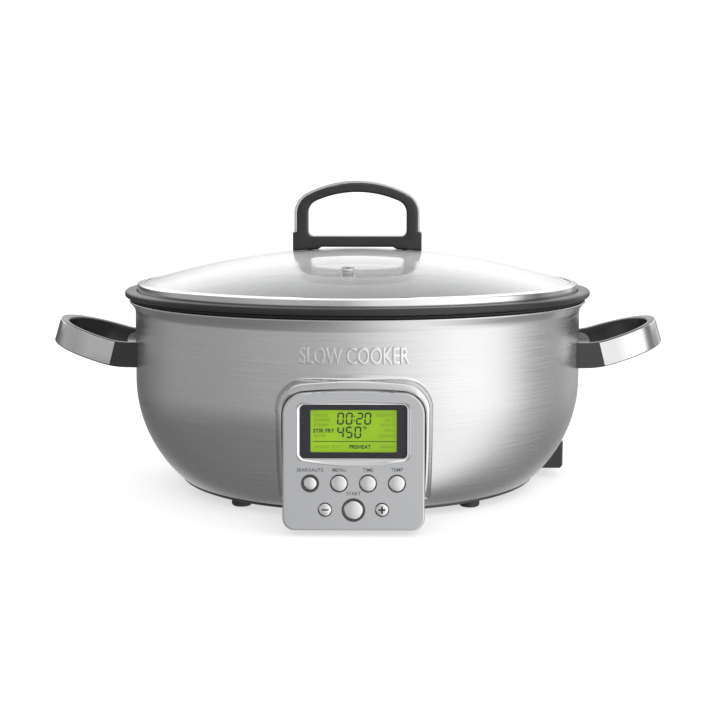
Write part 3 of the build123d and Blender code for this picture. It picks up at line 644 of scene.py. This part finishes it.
def make_lid():
    steps, chamfer = 60, 0.1 * MM
    low_r = GLASS_EDGE_R - chamfer
    top = [Vector((GLASS_EDGE_R * i / steps, dome_z(GLASS_EDGE_R * i / steps))) for i in range(steps)]
    edge = [Vector((GLASS_EDGE_R, dome_z(GLASS_EDGE_R) - chamfer))]
    low = [Vector((low_r * i / steps, dome_z(low_r * i / steps, GLASS_T))) for i in range(steps, -1, -1)]
    glass = turned("lid_dome", top + edge + low, closed=False)
    finished(sharp_edges(glass), GLASS, "lid", "lid_glass", "lid_glass")
    corners = [(159.8, 145), (159.8, 141.9), (157.0, 141.9), (157.0, 140.7), (161.0, 140.7),
               (161.0, 147.4), (156.2, 148.4), (156.2, 147.65), (159.8, 146.55), (159.8, 145)]
    radii = [0, 0, 0.3, 0.6, 1.0, 0.3, 0.1, 0.1]
    band = rounded([(r * MM, z * MM) for r, z in corners], [r * MM for r in radii])
    ring = turned("lid_rim_band", band[:-1])
    finished(sharp_edges(ring), CHROME, "lid", "polished_steel", "lid_band")


def arch_outline(half, low, high, big_r, corner, steps=10, arc_steps=40):
    """Front view of an arch from its lower right corner over to its lower left corner."""
    centre_z = high - big_r
    side_z = centre_z + sqrt((big_r - corner)**2 - (half - corner)**2)
    lean = atan2(side_z - centre_z, half - corner)
    right = [Vector((half, low))] + arc((half - corner, side_z), corner, 0, lean, steps)
    over = arc((0, centre_z), big_r, lean, pi - lean, arc_steps)[1:-1]
    left = [Vector((-p.x, p.y)) for p in reversed(right)]
    return right + over + left


def plate_from(name, outlines, depth, bevel, segments=4):
    """A plate with rounded edges, from front-view outlines. Its middle plane is Y = 0."""
    curve = bpy.data.curves.new(name, "CURVE")
    curve.dimensions = "2D"
    curve.fill_mode = "BOTH"
    curve.extrude = depth / 2 - bevel
    curve.bevel_depth = bevel
    curve.bevel_resolution = segments
    curve.offset = -bevel
    for outline in outlines:
        spline = curve.splines.new("POLY")
        spline.points.add(len(outline) - 1)
        for point, (x, y) in zip(spline.points, outline):
            point.co = (x, y, 0, 1)
        spline.use_cyclic_u = True
    obj = as_mesh(name, curve)
    obj.data.transform(Matrix.Rotation(pi / 2, 4, "X"))
    return obj


def as_mesh(name, curve):
    """Turns a curve or text into a plain mesh object."""
    holder = bpy.data.objects.new(name + "_curve", curve)
    bpy.context.scene.collection.objects.link(holder)
    bpy.context.view_layer.update()
    mesh = bpy.data.meshes.new_from_object(holder.evaluated_get(bpy.context.evaluated_depsgraph_get()))
    bpy.data.objects.remove(holder)
    mesh.name = name
    bm = bmesh.new()
    bm.from_mesh(mesh)
    bmesh.ops.remove_doubles(bm, verts=bm.verts, dist=1e-6)
    bmesh.ops.dissolve_degenerate(bm, dist=1e-7, edges=bm.edges)
    bmesh.ops.recalc_face_normals(bm, faces=bm.faces)
    bm.to_mesh(mesh)
    bm.free()
    mesh.shade_smooth()
    obj = bpy.data.objects.new(name, mesh)
    bpy.context.scene.collection.objects.link(obj)
    return obj


def make_lid_handle():
    shoulder = Vector((47.2 * MM, 183.3 * MM))
    foot_gap = 0.45 * MM
    arch = arch_outline(43.95 * MM, shoulder.y, 218.95 * MM, 77.95 * MM, 14.95 * MM)
    sole = [Vector((x * MM, dome_z(x * MM) + foot_gap)) for x in (47.2, 44, 40, 36, 32, 29)]
    right_foot = [Vector((26 * MM, 172.7 * MM))] + sole[::-1] + [shoulder]
    left_foot = [Vector((-p.x, p.y)) for p in reversed(right_foot)]
    hole_half, hole_low, bend = 36.2 * MM, 180.4 * MM, 4 * MM
    hole = arch_outline(hole_half, hole_low + bend, 212.6 * MM, 75 * MM, 10 * MM)
    lower_left = arc((-hole_half + bend, hole_low + bend), bend, pi, 1.5 * pi, 6)
    lower_right = arc((hole_half - bend, hole_low + bend), bend, 1.5 * pi, 2 * pi, 6)
    outlines = [right_foot + arch + left_foot, hole[1:-1] + lower_left + lower_right]
    grip = plate_from("lid_grip_arch", outlines, 19 * MM, 1.3 * MM)
    finished(sharp_edges(grip, 40), BLACK, "lid", "black_plastic", "lid_handle_grip")
    strap_low = 183.45 * MM
    outer = arch_outline(46 * MM, strap_low, 220.98 * MM, 80 * MM, 17 * MM)
    inner = arch_outline(44 * MM, strap_low, 219 * MM, 78 * MM, 15 * MM)
    strap = plate_from("lid_strap_arch", [outer + inner[::-1]], 16 * MM, 0.35 * MM, 2)
    finished(sharp_edges(strap, 40), CHROME, "lid", "polished_steel", "lid_handle_strap")


# --- pot -----------------------------------------------------------------------------------
def make_pot():
    corners = [(0, 36), (144.1, 36), (148.5, 137.4), (161.4, 140.3), (161.5, 142.8), (169.98, 142.8),
               (169.98, 138.2), (161.0, 138.2), (150.9, 134.6), (146.4, 33.6), (0, 33.6)]
    radii = [44, 2.5, 0.2, 0.8, 1.9, 1.6, 1, 2, 46.4]
    profile = rounded([(r * MM, z * MM) for r, z in corners], [r * MM for r in radii], 10)
    pot = turned("pot_turned", profile, closed=False)
    finished(sharp_edges(pot), POT, "pot", "pot_coating", "cooking_pot")


# --- sensor spring -------------------------------------------------------------------------
def make_sensor_spring():
    """The coil under the pot sensor, built at its full length; the real coil shortens as the sensor is
    pressed down on it.
    """
    low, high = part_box("sensor_spring")
    wire_r, coil_r, travel = 0.5 * MM, 6 * MM, 2.5 * MM
    turns, turn_steps, wire_steps = 4, 48, 12
    rise = (high.z - low.z - 2 * wire_r) / (turns * turn_steps)
    sections = []
    for i in range(turns * turn_steps + 1):
        a = 2 * pi * i / turn_steps
        out = Vector((cos(a), sin(a), 0))
        centre = out * coil_r + Vector((0, 0, low.z + wire_r + rise * i))
        section = []
        for k in range(wire_steps):
            b = 2 * pi * k / wire_steps
            section.append(centre + out * (wire_r * cos(b)) + Vector((0, 0, wire_r * sin(b))))
        sections.append(section)
    spring = skinned("sensor_coil", sections)
    finished(spring, LINER, "housing", "hidden_steel", "sensor_spring")
    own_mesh(spring)


# --- control panel -------------------------------------------------------------------------
FACE_Y, FACE_Z = -174 * MM, 47.7 * MM
ON_PANEL = Matrix((
    (1, 0, 0, 0),
    (0, sin(LEAN), -cos(LEAN), FACE_Y),
    (0, cos(LEAN), sin(LEAN), FACE_Z),
    (0, 0, 0, 1),
))
# Name, place on the panel, and radii of the cap and the collar, in mm.
BUTTONS = [
    ("sear", -27.1, -13.8, 3.9, 5.7), ("menu", -9.04, -13.8, 4.8, 5.7),
    ("time", 9.04, -13.8, 4.8, 5.7), ("temp", 27.1, -13.8, 4.8, 5.7),
    ("minus", -17.8, -30.3, 3.8, 4.5), ("start", 0.0, -30.5, 5.7, 7.4),
    ("plus", 17.8, -30.3, 3.8, 4.5),
]


def at_panel(x, y, w=0.0):
    """Places a shape on the panel, by mm across, up and out of its face."""
    return ON_PANEL @ Matrix.Translation((x * MM, y * MM, w * MM))


def panel_point(x, y, w):
    return at_panel(x, y, w) @ Vector((0, 0, 0))


def make_buttons():
    collars = []
    for name, x, y, cap_r, collar_r in BUTTONS:
        edge, stem_r = cap_r * MM, 1.8 * MM
        skirt_r, skirt_top, skirt_low, stem_low = edge + 0.9 * MM, -3 * MM, -4.1 * MM, -6.5 * MM
        dome = [Vector((edge * 0.86 * i / 8, (1.0 - 0.22 * (i / 8)**2) * MM)) for i in range(9)]
        side = arc((edge - 0.55 * MM, 0.2 * MM), 0.55 * MM, radians(70), 0, 6)
        under = [(edge, skirt_top), (skirt_r, skirt_top), (skirt_r, skirt_low), (stem_r, skirt_low),
                 (stem_r, stem_low), (0, stem_low)]
        cap = dome + side + [Vector(p) for p in under]
        button = turned("cap_" + name, cap, 96, closed=False, place=at_panel(x, y))
        finished(sharp_edges(button, 40), BUTTON_CHROME, name + "_button", "button_chrome", "button_" + name)
        inner, outer = (cap_r + 0.3) * MM, collar_r * MM
        ring = [Vector((inner, -2.2 * MM)), Vector((outer, -2.2 * MM)), Vector((outer, -0.05 * MM))]
        crest = arc(((inner + outer) / 2, 0), (outer - inner) / 2, 0.12, pi - 0.12, 10)
        flat = min(1.0, 0.3 * MM / ((outer - inner) / 2))
        ring += [Vector((p.x, p.y * flat)) for p in crest] + [Vector((inner, -0.1 * MM))]
        collars.append(turned("collar_" + name, ring, 96, place=at_panel(x, y)))
    collar = joined("collar_rings", collars)
    finished(sharp_edges(collar, 50), COLLAR, "housing", "collar_dark", "button_collars")


def bowed_loop(half, low, high, corner, bow_low=0.0, bow_high=0.0, steps=8, edge_steps=24):
    """A rounded rectangle on the panel whose top and bottom edges bow outward, in mm."""
    points = []
    for x, y, start in ((half, high, 0), (-half, high, 90), (-half, low, 180), (half, low, 270)):
        centre = (x - corner if x > 0 else x + corner, y - corner if y == high else y + corner)
        points += arc(centre, corner, radians(start), radians(start + 90), steps)
        if start in (0, 180):
            left = points[-1].x
            points += [Vector((left - 2 * left * i / edge_steps, points[-1].y)) for i in range(1, edge_steps)]
    middle = (low + high) / 2
    bowed = []
    for p in points:
        bow = bow_high if p.y > middle else -bow_low
        share = abs(p.y - middle) / (high - middle) * max(0.0, 1 - (p.x / half)**2)
        bowed.append((p.x, p.y + bow * share))
    return bowed


def make_display_bezel():
    """The bright frame round the display window, dished between its outer and inner edges."""
    outer = bowed_loop(35.4, 0.9, 36.1, 4, 4, 2.2)
    inner = bowed_loop(33.6, 1.8, 35.4, 3)
    dish = [(0, -1.2), (0, 0.12), (0.05, 0.27), (0.14, 0.3), (0.24, 0.16), (0.4, -0.16), (0.58, -0.42),
            (0.74, -0.5), (0.86, -0.44), (0.93, -0.3), (0.98, -0.34), (1, -0.45), (1, -1.2)]
    rings = []
    for t, w in dish:
        rings.append([panel_point(a[0] + (b[0] - a[0]) * t, a[1] + (b[1] - a[1]) * t, w)
                      for a, b in zip(outer, inner)])
    bezel = skinned("display_bezel", rings, looped=True)
    finished(sharp_edges(bezel, 50), BUTTON_CHROME, "housing", "button_chrome", "lcd_bezel")


CAPITAL_SHARE = 0.7     # height of a capital letter as a share of the font's size


def words(name, text, size, place, thickness=0.02, align="CENTER", spacing=1.0, bolder=0.0):
    """Printed words on a plane, as a mesh. The size is the letters' height in mm."""
    curve = bpy.data.curves.new(name, "FONT")
    curve.body = text
    curve.size = size * MM / CAPITAL_SHARE
    curve.align_x = align
    curve.extrude = thickness * MM
    curve.offset = bolder * MM
    curve.space_character = spacing
    obj = as_mesh(name, curve)
    obj.data.transform(place)
    return obj


SEGMENT_ON = {"0": "abcdef", "2": "abged", "4": "fgbc", "5": "afgcd"}
SEGMENT_SLANT = 0.06


def digit(char, left, low, width, height, thick):
    """Bars of one seven-segment digit, as flat outlines."""
    mid = low + height / 2
    gap, t = thick * 0.12, thick
    bars = {
        "a": (left, low + height, left + width, "h"), "g": (left, mid + t / 2, left + width, "h"),
        "d": (left, low + t, left + width, "h"), "f": (left, mid, low + height, "l"),
        "e": (left, low, mid, "l"), "b": (left + width, mid, low + height, "r"),
        "c": (left + width, low, mid, "r"),
    }
    shapes = []
    for key in SEGMENT_ON[char]:
        bar = bars[key]
        if bar[3] == "h":
            x0, top, x1 = bar[0] + t / 2 + gap, bar[1], bar[2] - t / 2 - gap
            shape = [(x0, top - t / 2), (x0 + t / 2, top), (x1 - t / 2, top), (x1, top - t / 2),
                     (x1 - t / 2, top - t), (x0 + t / 2, top - t)]
        else:
            x, y0, y1 = bar[0], bar[1] + gap, bar[2] - gap
            way = 1 if bar[3] == "l" else -1
            y0, y1 = y0 + (t / 2 if bar[1] == low else 0) * 0.6, y1 - (t / 2 if bar[2] > mid else 0) * 0.6
            shape = [(x, y0 + t / 2), (x, y1 - t / 2), (x + way * t / 2, y1), (x + way * t, y1 - t / 2),
                     (x + way * t, y0 + t / 2), (x + way * t / 2, y0)]
        shapes.append([(px + SEGMENT_SLANT * (py - low), py) for px, py in shape])
    return shapes


def flat_shapes(name, shapes, place, thickness=0.02):
    """Thin solid plates from flat outlines in mm."""
    bm = bmesh.new()
    for shape in shapes:
        low = [bm.verts.new(place @ Vector((x * MM, y * MM, 0))) for x, y in shape]
        high = [bm.verts.new(place @ Vector((x * MM, y * MM, thickness * MM))) for x, y in shape]
        bm.faces.new(low[::-1])
        bm.faces.new(high)
        for i in range(len(shape)):
            j = (i + 1) % len(shape)
            bm.faces.new([low[i], low[j], high[j], high[i]])
    bmesh.ops.recalc_face_normals(bm, faces=bm.faces)
    mesh = bpy.data.meshes.new(name)
    bm.to_mesh(mesh)
    bm.free()
    obj = bpy.data.objects.new(name, mesh)
    bpy.context.scene.collection.objects.link(obj)
    return obj


GLOW_LEFT, GLOW_RIGHT, GLOW_LOW, GLOW_HIGH = -27.0, 27.0, 5.5, 32.0     # the lit window, in mm
LIQUID = -2.68          # how far the display's surface is out of the panel's face, in mm

# Words with their places as shares of the lit window, from its upper left, and for some their height.
ACTIVE_WORDS = [("STIR FRY", 0.03, 0.535, 2.4), ("°F", 0.605, 0.465, 1.9), ("PREHEAT", 0.45, 0.915, 2.3)]
GHOST_WORDS = [
    ("SAUCE", 0.04, 0.165, "LEFT"), ("SIMMER", 0.04, 0.28, "LEFT"), ("STEAM", 0.04, 0.395, "LEFT"),
    ("SOUP", 0.04, 0.65, "LEFT"), ("BROWN", 0.975, 0.165, "RIGHT"), ("RICE", 0.975, 0.28, "RIGHT"),
    ("WHITE", 0.975, 0.395, "RIGHT"), ("RICE", 0.975, 0.52, "RIGHT"), ("GRAINS", 0.975, 0.65, "RIGHT"),
    ("INSERT POT", 0.05, 0.915, "LEFT"), ("WARM", 0.975, 0.915, "RIGHT"),
]
GHOST_HEIGHT = 2.1


def glow_x(part):
    return GLOW_LEFT + (GLOW_RIGHT - GLOW_LEFT) * part


def glow_y(part):
    return GLOW_HIGH - (GLOW_HIGH - GLOW_LOW) * part


def on_liquid(x, y):
    """A place on the display's surface, by shares of the lit window."""
    return at_panel(glow_x(x), glow_y(y), LIQUID)


def make_display():
    shapes = []
    wide, thick = 4.3, 1.0
    low = glow_y(0.35)
    high = glow_y(0.06) - low
    for char, at in zip("0020", (0.305, 0.405, 0.525, 0.62)):
        shapes += digit(char, glow_x(at), low, wide, high, thick)
    for up in (0.3, 0.62):
        x, y = glow_x(0.5), low + high * up
        shapes.append([(x, y), (x + 0.8, y), (x + 0.85, y + 0.8), (x + 0.05, y + 0.8)])
    low = glow_y(0.67)
    for char, at in zip("450", (0.305, 0.405, 0.505)):
        shapes += digit(char, glow_x(at), low, wide, glow_y(0.39) - low, thick)
    left, right, line, line_t = glow_x(0.03), glow_x(0.985), glow_y(0.755), 0.45
    shapes.append([(left, line), (right, line), (right, line + line_t), (left, line + line_t)])
    parts = [flat_shapes("display_digits", shapes, at_panel(0, 0, LIQUID))]
    for text, x, y, size in ACTIVE_WORDS:
        parts.append(words("display_words", text, size, on_liquid(x, y), align="LEFT", bolder=0.1))
    active = joined("display_active", parts)
    active.data.shade_flat()
    finished(active, SEGMENTS, "housing", "component_black")
    ghosts = []
    for text, x, y, align in GHOST_WORDS:
        ghosts.append(words("ghost_words", text, GHOST_HEIGHT, on_liquid(x, y), align=align))
    ghost = joined("display_ghosts", ghosts)
    ghost.data.shade_flat()
    finished(ghost, GHOST, "housing", "display")


def make_labels():
    parts = []
    for text, x, y in (("SEAR/SAUTE", -27.1, -6.4), ("MENU", -9.04, -6.4), ("TIME", 9.04, -6.4),
                       ("TEMP", 27.1, -6.2), ("START", 0, -21.2)):
        parts.append(words("label_words", text, 2.15, at_panel(x, y, 0), 0.03, spacing=1.02, bolder=0.03))
    labels = joined("panel_labels", parts)
    labels.data.shade_flat()
    finished(labels, INK, "housing", "collar_dark")
    bar = [(-2.2, -0.45), (2.2, -0.45), (2.2, 0.45), (-2.2, 0.45)]
    cross = [(-2.2, -0.6), (-0.6, -0.6), (-0.6, -2.2), (0.6, -2.2), (0.6, -0.6), (2.2, -0.6),
             (2.2, 0.6), (0.6, 0.6), (0.6, 2.2), (-0.6, 2.2), (-0.6, 0.6), (-2.2, 0.6)]
    for name, x, shape in (("minus", -17.8, bar), ("plus", 17.8, cross)):
        glyph = flat_shapes("glyph_" + name, [shape], at_panel(x, -30.3, 0.9), 0.12)
        finished(glyph, INK_BLACK, name + "_button", "collar_dark")


# --- steel roll round the panel ------------------------------------------------------------
def panel_path():
    """The panel's outline as (point, outward) pairs, from the lower left over the top."""
    half, low, high, rise, corner = 44.5, -43.6, 44.1, 2.5, 14.0
    arch_r = (half**2 + rise**2) / (2 * rise)
    centre_y = high - arch_r
    side_y = centre_y + sqrt((arch_r - corner)**2 - (half - corner)**2)
    lean = atan2(side_y - centre_y, half - corner)
    right = [((half, low + (side_y - low) * i / 40), (1, 0)) for i in range(40)]
    for i in range(25):
        a = lean * i / 24
        right.append(((half - corner + corner * cos(a), side_y + corner * sin(a)), (cos(a), sin(a))))
    for i in range(1, 25):
        a = lean + (pi / 2 - lean) * i / 24
        right.append(((arch_r * cos(a), centre_y + arch_r * sin(a)), (cos(a), sin(a))))
    left = [((-p[0], p[1]), (-n[0], n[1])) for p, n in right[:-1]]
    return left + right[::-1]


def bowl_depth(x, y):
    """How far out of the panel's plane the bowl's surface is, in mm, at a place on the panel."""
    lowest = 7.2        # just above the bowl's floor
    w = -20.0
    for _ in range(12):
        z = FACE_Z / MM + y * cos(LEAN) + w * sin(LEAN)
        side = bowl_r(max(z, lowest) * MM)**2 - (x * MM)**2
        w = (FACE_Y / MM + y * sin(LEAN) + sqrt(max(side, 0)) / MM) / cos(LEAN)
    return w


def surround_outline(wide, spread, foot):
    """Cross-section of the roll as (outward, out of the plane) in mm, for the bowl's depth at its foot."""
    inside, flank_steps = 0.62, 14
    crest = min(-3.3, foot + 9.5)
    base = foot - 1.5 if crest - 7 < foot - 1.6 else crest - 7
    inner = [(inside, base), (inside, crest - 0.9), (0.75, crest - 0.35), (1.05, crest - 0.05)]
    roll = [(1.4 + (wide - 1.6) * t, crest - 1.1 * t**2) for t in (0.0, 0.15, 0.3, 0.45, 0.6, 0.75, 0.9)]
    flank = []
    top_d, top_w = wide - 0.2, crest - 1.1
    for i in range(1, flank_steps + 1):
        t = i / flank_steps
        flank.append((top_d + (spread + 0.2) * t, foot + (top_w - foot) * (1 - t)**2.4))
    under = [(wide + spread, foot - 1.0), (wide, foot - 1.5), (inside, foot - 1.6)]
    return inner + roll + flank + under


def make_surround():
    low_z = 13 * MM     # the roll ends here, above the base
    raised = 12         # the cross-section's points up to the start of its flank
    kept = []
    for (x, y), (nx, ny) in panel_path():
        wide = 3.6 + 2.2 * max(0.0, ny)
        spread = 2.6 + 1.2 * max(0.0, ny)
        foot = bowl_depth(x + nx * (wide + spread), y + ny * (wide + spread))
        section = [panel_point(x + nx * d, y + ny * d, w) for d, w in surround_outline(wide, spread, foot)]
        if min(p.z for p in section[:raised]) > low_z:
            kept.append(section)
    roll = skinned("surround_roll", kept)
    finished(sharp_edges(roll, 50), ROLL_STEEL, "housing", "housing_steel", "panel_surround")


# --- words raised on the bowl --------------------------------------------------------------
WORDS_HEIGHT, WORDS_WIDTH, WORDS_LOW = 10.3 * MM, 70 * MM, 107.6 * MM


def make_bowl_words():
    curve = bpy.data.curves.new("bowl_words", "FONT")
    curve.body = "SLOW COOKER"
    curve.size = WORDS_HEIGHT / CAPITAL_SHARE
    curve.align_x = "CENTER"
    curve.extrude = 0.6 * MM
    curve.bevel_depth = 0.45 * MM
    curve.bevel_resolution = 3
    obj = as_mesh("bowl_words", curve)
    bm = bmesh.new()
    bm.from_mesh(obj.data)
    bmesh.ops.triangulate(bm, faces=bm.faces)
    bmesh.ops.subdivide_edges(bm, edges=[e for e in bm.edges if e.calc_length() > 2.5 * MM], cuts=1)
    width = max(v.co.x for v in bm.verts) - min(v.co.x for v in bm.verts)
    squeeze = WORDS_WIDTH / width
    for v in bm.verts:
        z = WORDS_LOW + v.co.y
        r = bowl_r(z) + v.co.z
        a = v.co.x * squeeze / WALL_R
        v.co = Vector((r * sin(a), -r * cos(a), z))
    bmesh.ops.recalc_face_normals(bm, faces=bm.faces)
    bm.to_mesh(obj.data)
    bm.free()
    obj.data.shade_smooth()
    finished(sharp_edges(obj, 30), WORD_STEEL, "housing", "housing_steel")


# --- stage, camera, light ------------------------------------------------------------------
def make_stage():
    """A white sweep all round: flat floor, a wide cove and an upright wall."""
    line = rounded([(0.01, 0), (3.2, 0), (3.2, 2.6)], [1.4], 24)
    line = [Vector((0, 0)), Vector((0.6, 0)), Vector((1.2, 0))] + line[1:]
    sweep = turned("studio_sweep", line, 96, closed=False)
    mat, tree, shader = material("studio_white")
    paper = stretched_noise(tree, 900, 3, 0.6)
    base_colour(tree, shader, paper, (0.5, 0.5, 0.5), (0.54, 0.54, 0.54))
    set_values(shader, Roughness=0.95, Emission_Strength=0.62, Emission_Color=(1, 1, 1, 1))
    bump(tree, shader, paper, 0.05, 0.0002)
    paint(sweep, mat)
    sweep.visible_glossy = False
    sweep.visible_diffuse = False
    sweep.visible_shadow = False


CAMERA_DISTANCE = 1.0
CAMERA_HEIGHT = 0.2234
CAMERA_PITCH = radians(7.71)
CAMERA_TURN = radians(0.8)
LENS_MM, SENSOR_MM = 67.53, 36
SHIFT_X = 0.0036


def make_camera():
    data = bpy.data.cameras.new("camera")
    data.lens = LENS_MM
    data.sensor_width = SENSOR_MM
    data.shift_x = SHIFT_X
    camera = bpy.data.objects.new("camera", data)
    camera.location = (CAMERA_DISTANCE * sin(CAMERA_TURN), -CAMERA_DISTANCE * cos(CAMERA_TURN), CAMERA_HEIGHT)
    camera.rotation_euler = (pi / 2 - CAMERA_PITCH, 0, CAMERA_TURN)
    bpy.context.scene.collection.objects.link(camera)
    bpy.context.scene.camera = camera


# Brightness of the studio's walls by azimuth in degrees: 0 is in front, and right is positive.
WALLS = [
    (-180, 1.0), (-172, 0.8), (-165, 0.35), (-150, 0.10), (-136, 0.16), (-120, 0.30), (-106, 0.50),
    (-70, 0.46), (-40, 0.60), (-6, 0.60), (8, 1.05), (35, 1.45), (60, 1.75), (82, 1.55), (94, 0.42),
    (104, 0.26), (118, 0.5), (128, 0.5), (142, 0.85), (150, 0.36), (165, 0.5), (172, 0.9), (180, 1.0),
]
LOW_WALLS = [
    (-180, 1.3), (-165, 1.0), (-145, 0.2), (-110, 0.22), (-40, 0.3), (-8, 0.4), (20, 1.0), (45, 1.6),
    (72, 1.5), (92, 0.65), (110, 0.3), (145, 0.26), (165, 1.0), (180, 1.3),
]
REAR_LIGHT = 1.7
OVERHEAD = 1.25

# Where one part of the studio turns into the next, as the Z of a direction of length 1, or its Y.
LOW_TO_WALLS_Z = (-0.45, -0.08)
WALLS_TO_REAR_Y = (0.3, 0.6)
WALLS_TO_SKY_Z = (0.06, 0.3)
SKY_TO_TOP_Z = (0.72, 0.9)


def ring_ramp(tree, angle, stops):
    """A brightness that goes round the horizon by stops of (degrees, brightness)."""
    node = tree.nodes.new("ShaderNodeValToRGB")
    top = max(value for _, value in stops)
    elements = node.color_ramp.elements
    while len(elements) < len(stops):
        elements.new(0.5)
    for element, (turn, value) in zip(elements, stops):
        element.position = (turn + 180) / 360
        element.color = (value / top, value / top, value / top, 1)
    tree.links.new(angle, node.inputs["Fac"])
    return math_node(tree, "MULTIPLY", node.outputs["Color"], top)


def blend_by(tree, source, start, end, low, high):
    """Goes from one brightness to another as the source goes from start to end."""
    share = tree.nodes.new("ShaderNodeMapRange")
    share.interpolation_type = "SMOOTHSTEP"
    share.inputs["From Min"].default_value = start
    share.inputs["From Max"].default_value = end
    tree.links.new(source, share.inputs["Value"])
    mix = tree.nodes.new("ShaderNodeMix")
    tree.links.new(share.outputs["Result"], mix.inputs["Factor"])
    for socket, value in (("A", low), ("B", high)):
        if isinstance(value, float):
            mix.inputs[socket].default_value = value
        else:
            tree.links.new(value, mix.inputs[socket])
    return mix.outputs["Result"]


def make_light():
    """A soft studio: dim to the left, a large bright wall on the right, a light behind and above."""
    world = bpy.data.worlds.new("studio")
    bpy.context.scene.world = world
    world.use_nodes = True
    tree = world.node_tree
    coords = tree.nodes.new("ShaderNodeTexCoord")
    split = tree.nodes.new("ShaderNodeSeparateXYZ")
    tree.links.new(coords.outputs["Generated"], split.inputs["Vector"])
    x, y, z = split.outputs
    turn = math_node(tree, "ARCTAN2", x, math_node(tree, "MULTIPLY", y, -1))
    part = tree.nodes.new("ShaderNodeMapRange")
    part.inputs["From Min"].default_value = -pi
    part.inputs["From Max"].default_value = pi
    tree.links.new(turn, part.inputs["Value"])
    walls = ring_ramp(tree, part.outputs["Result"], WALLS)
    low_walls = ring_ramp(tree, part.outputs["Result"], LOW_WALLS)
    level = blend_by(tree, z, *LOW_TO_WALLS_Z, low_walls, walls)
    rear = blend_by(tree, y, *WALLS_TO_REAR_Y, level, REAR_LIGHT)
    sky = blend_by(tree, z, *WALLS_TO_SKY_Z, level, rear)
    whole = blend_by(tree, z, *SKY_TO_TOP_Z, sky, OVERHEAD)
    tree.links.new(whole, tree.nodes["Background"].inputs["Color"])
    bpy.context.scene.view_settings.view_transform = "Standard"


paint_cad_nodes()
make_bowl()
make_pot()
make_lid()
make_lid_handle()
make_side_handles()
make_sensor_spring()
make_surround()
make_buttons()
make_display_bezel()
make_display()
make_labels()
make_bowl_words()
make_stage()
make_camera()
make_light()
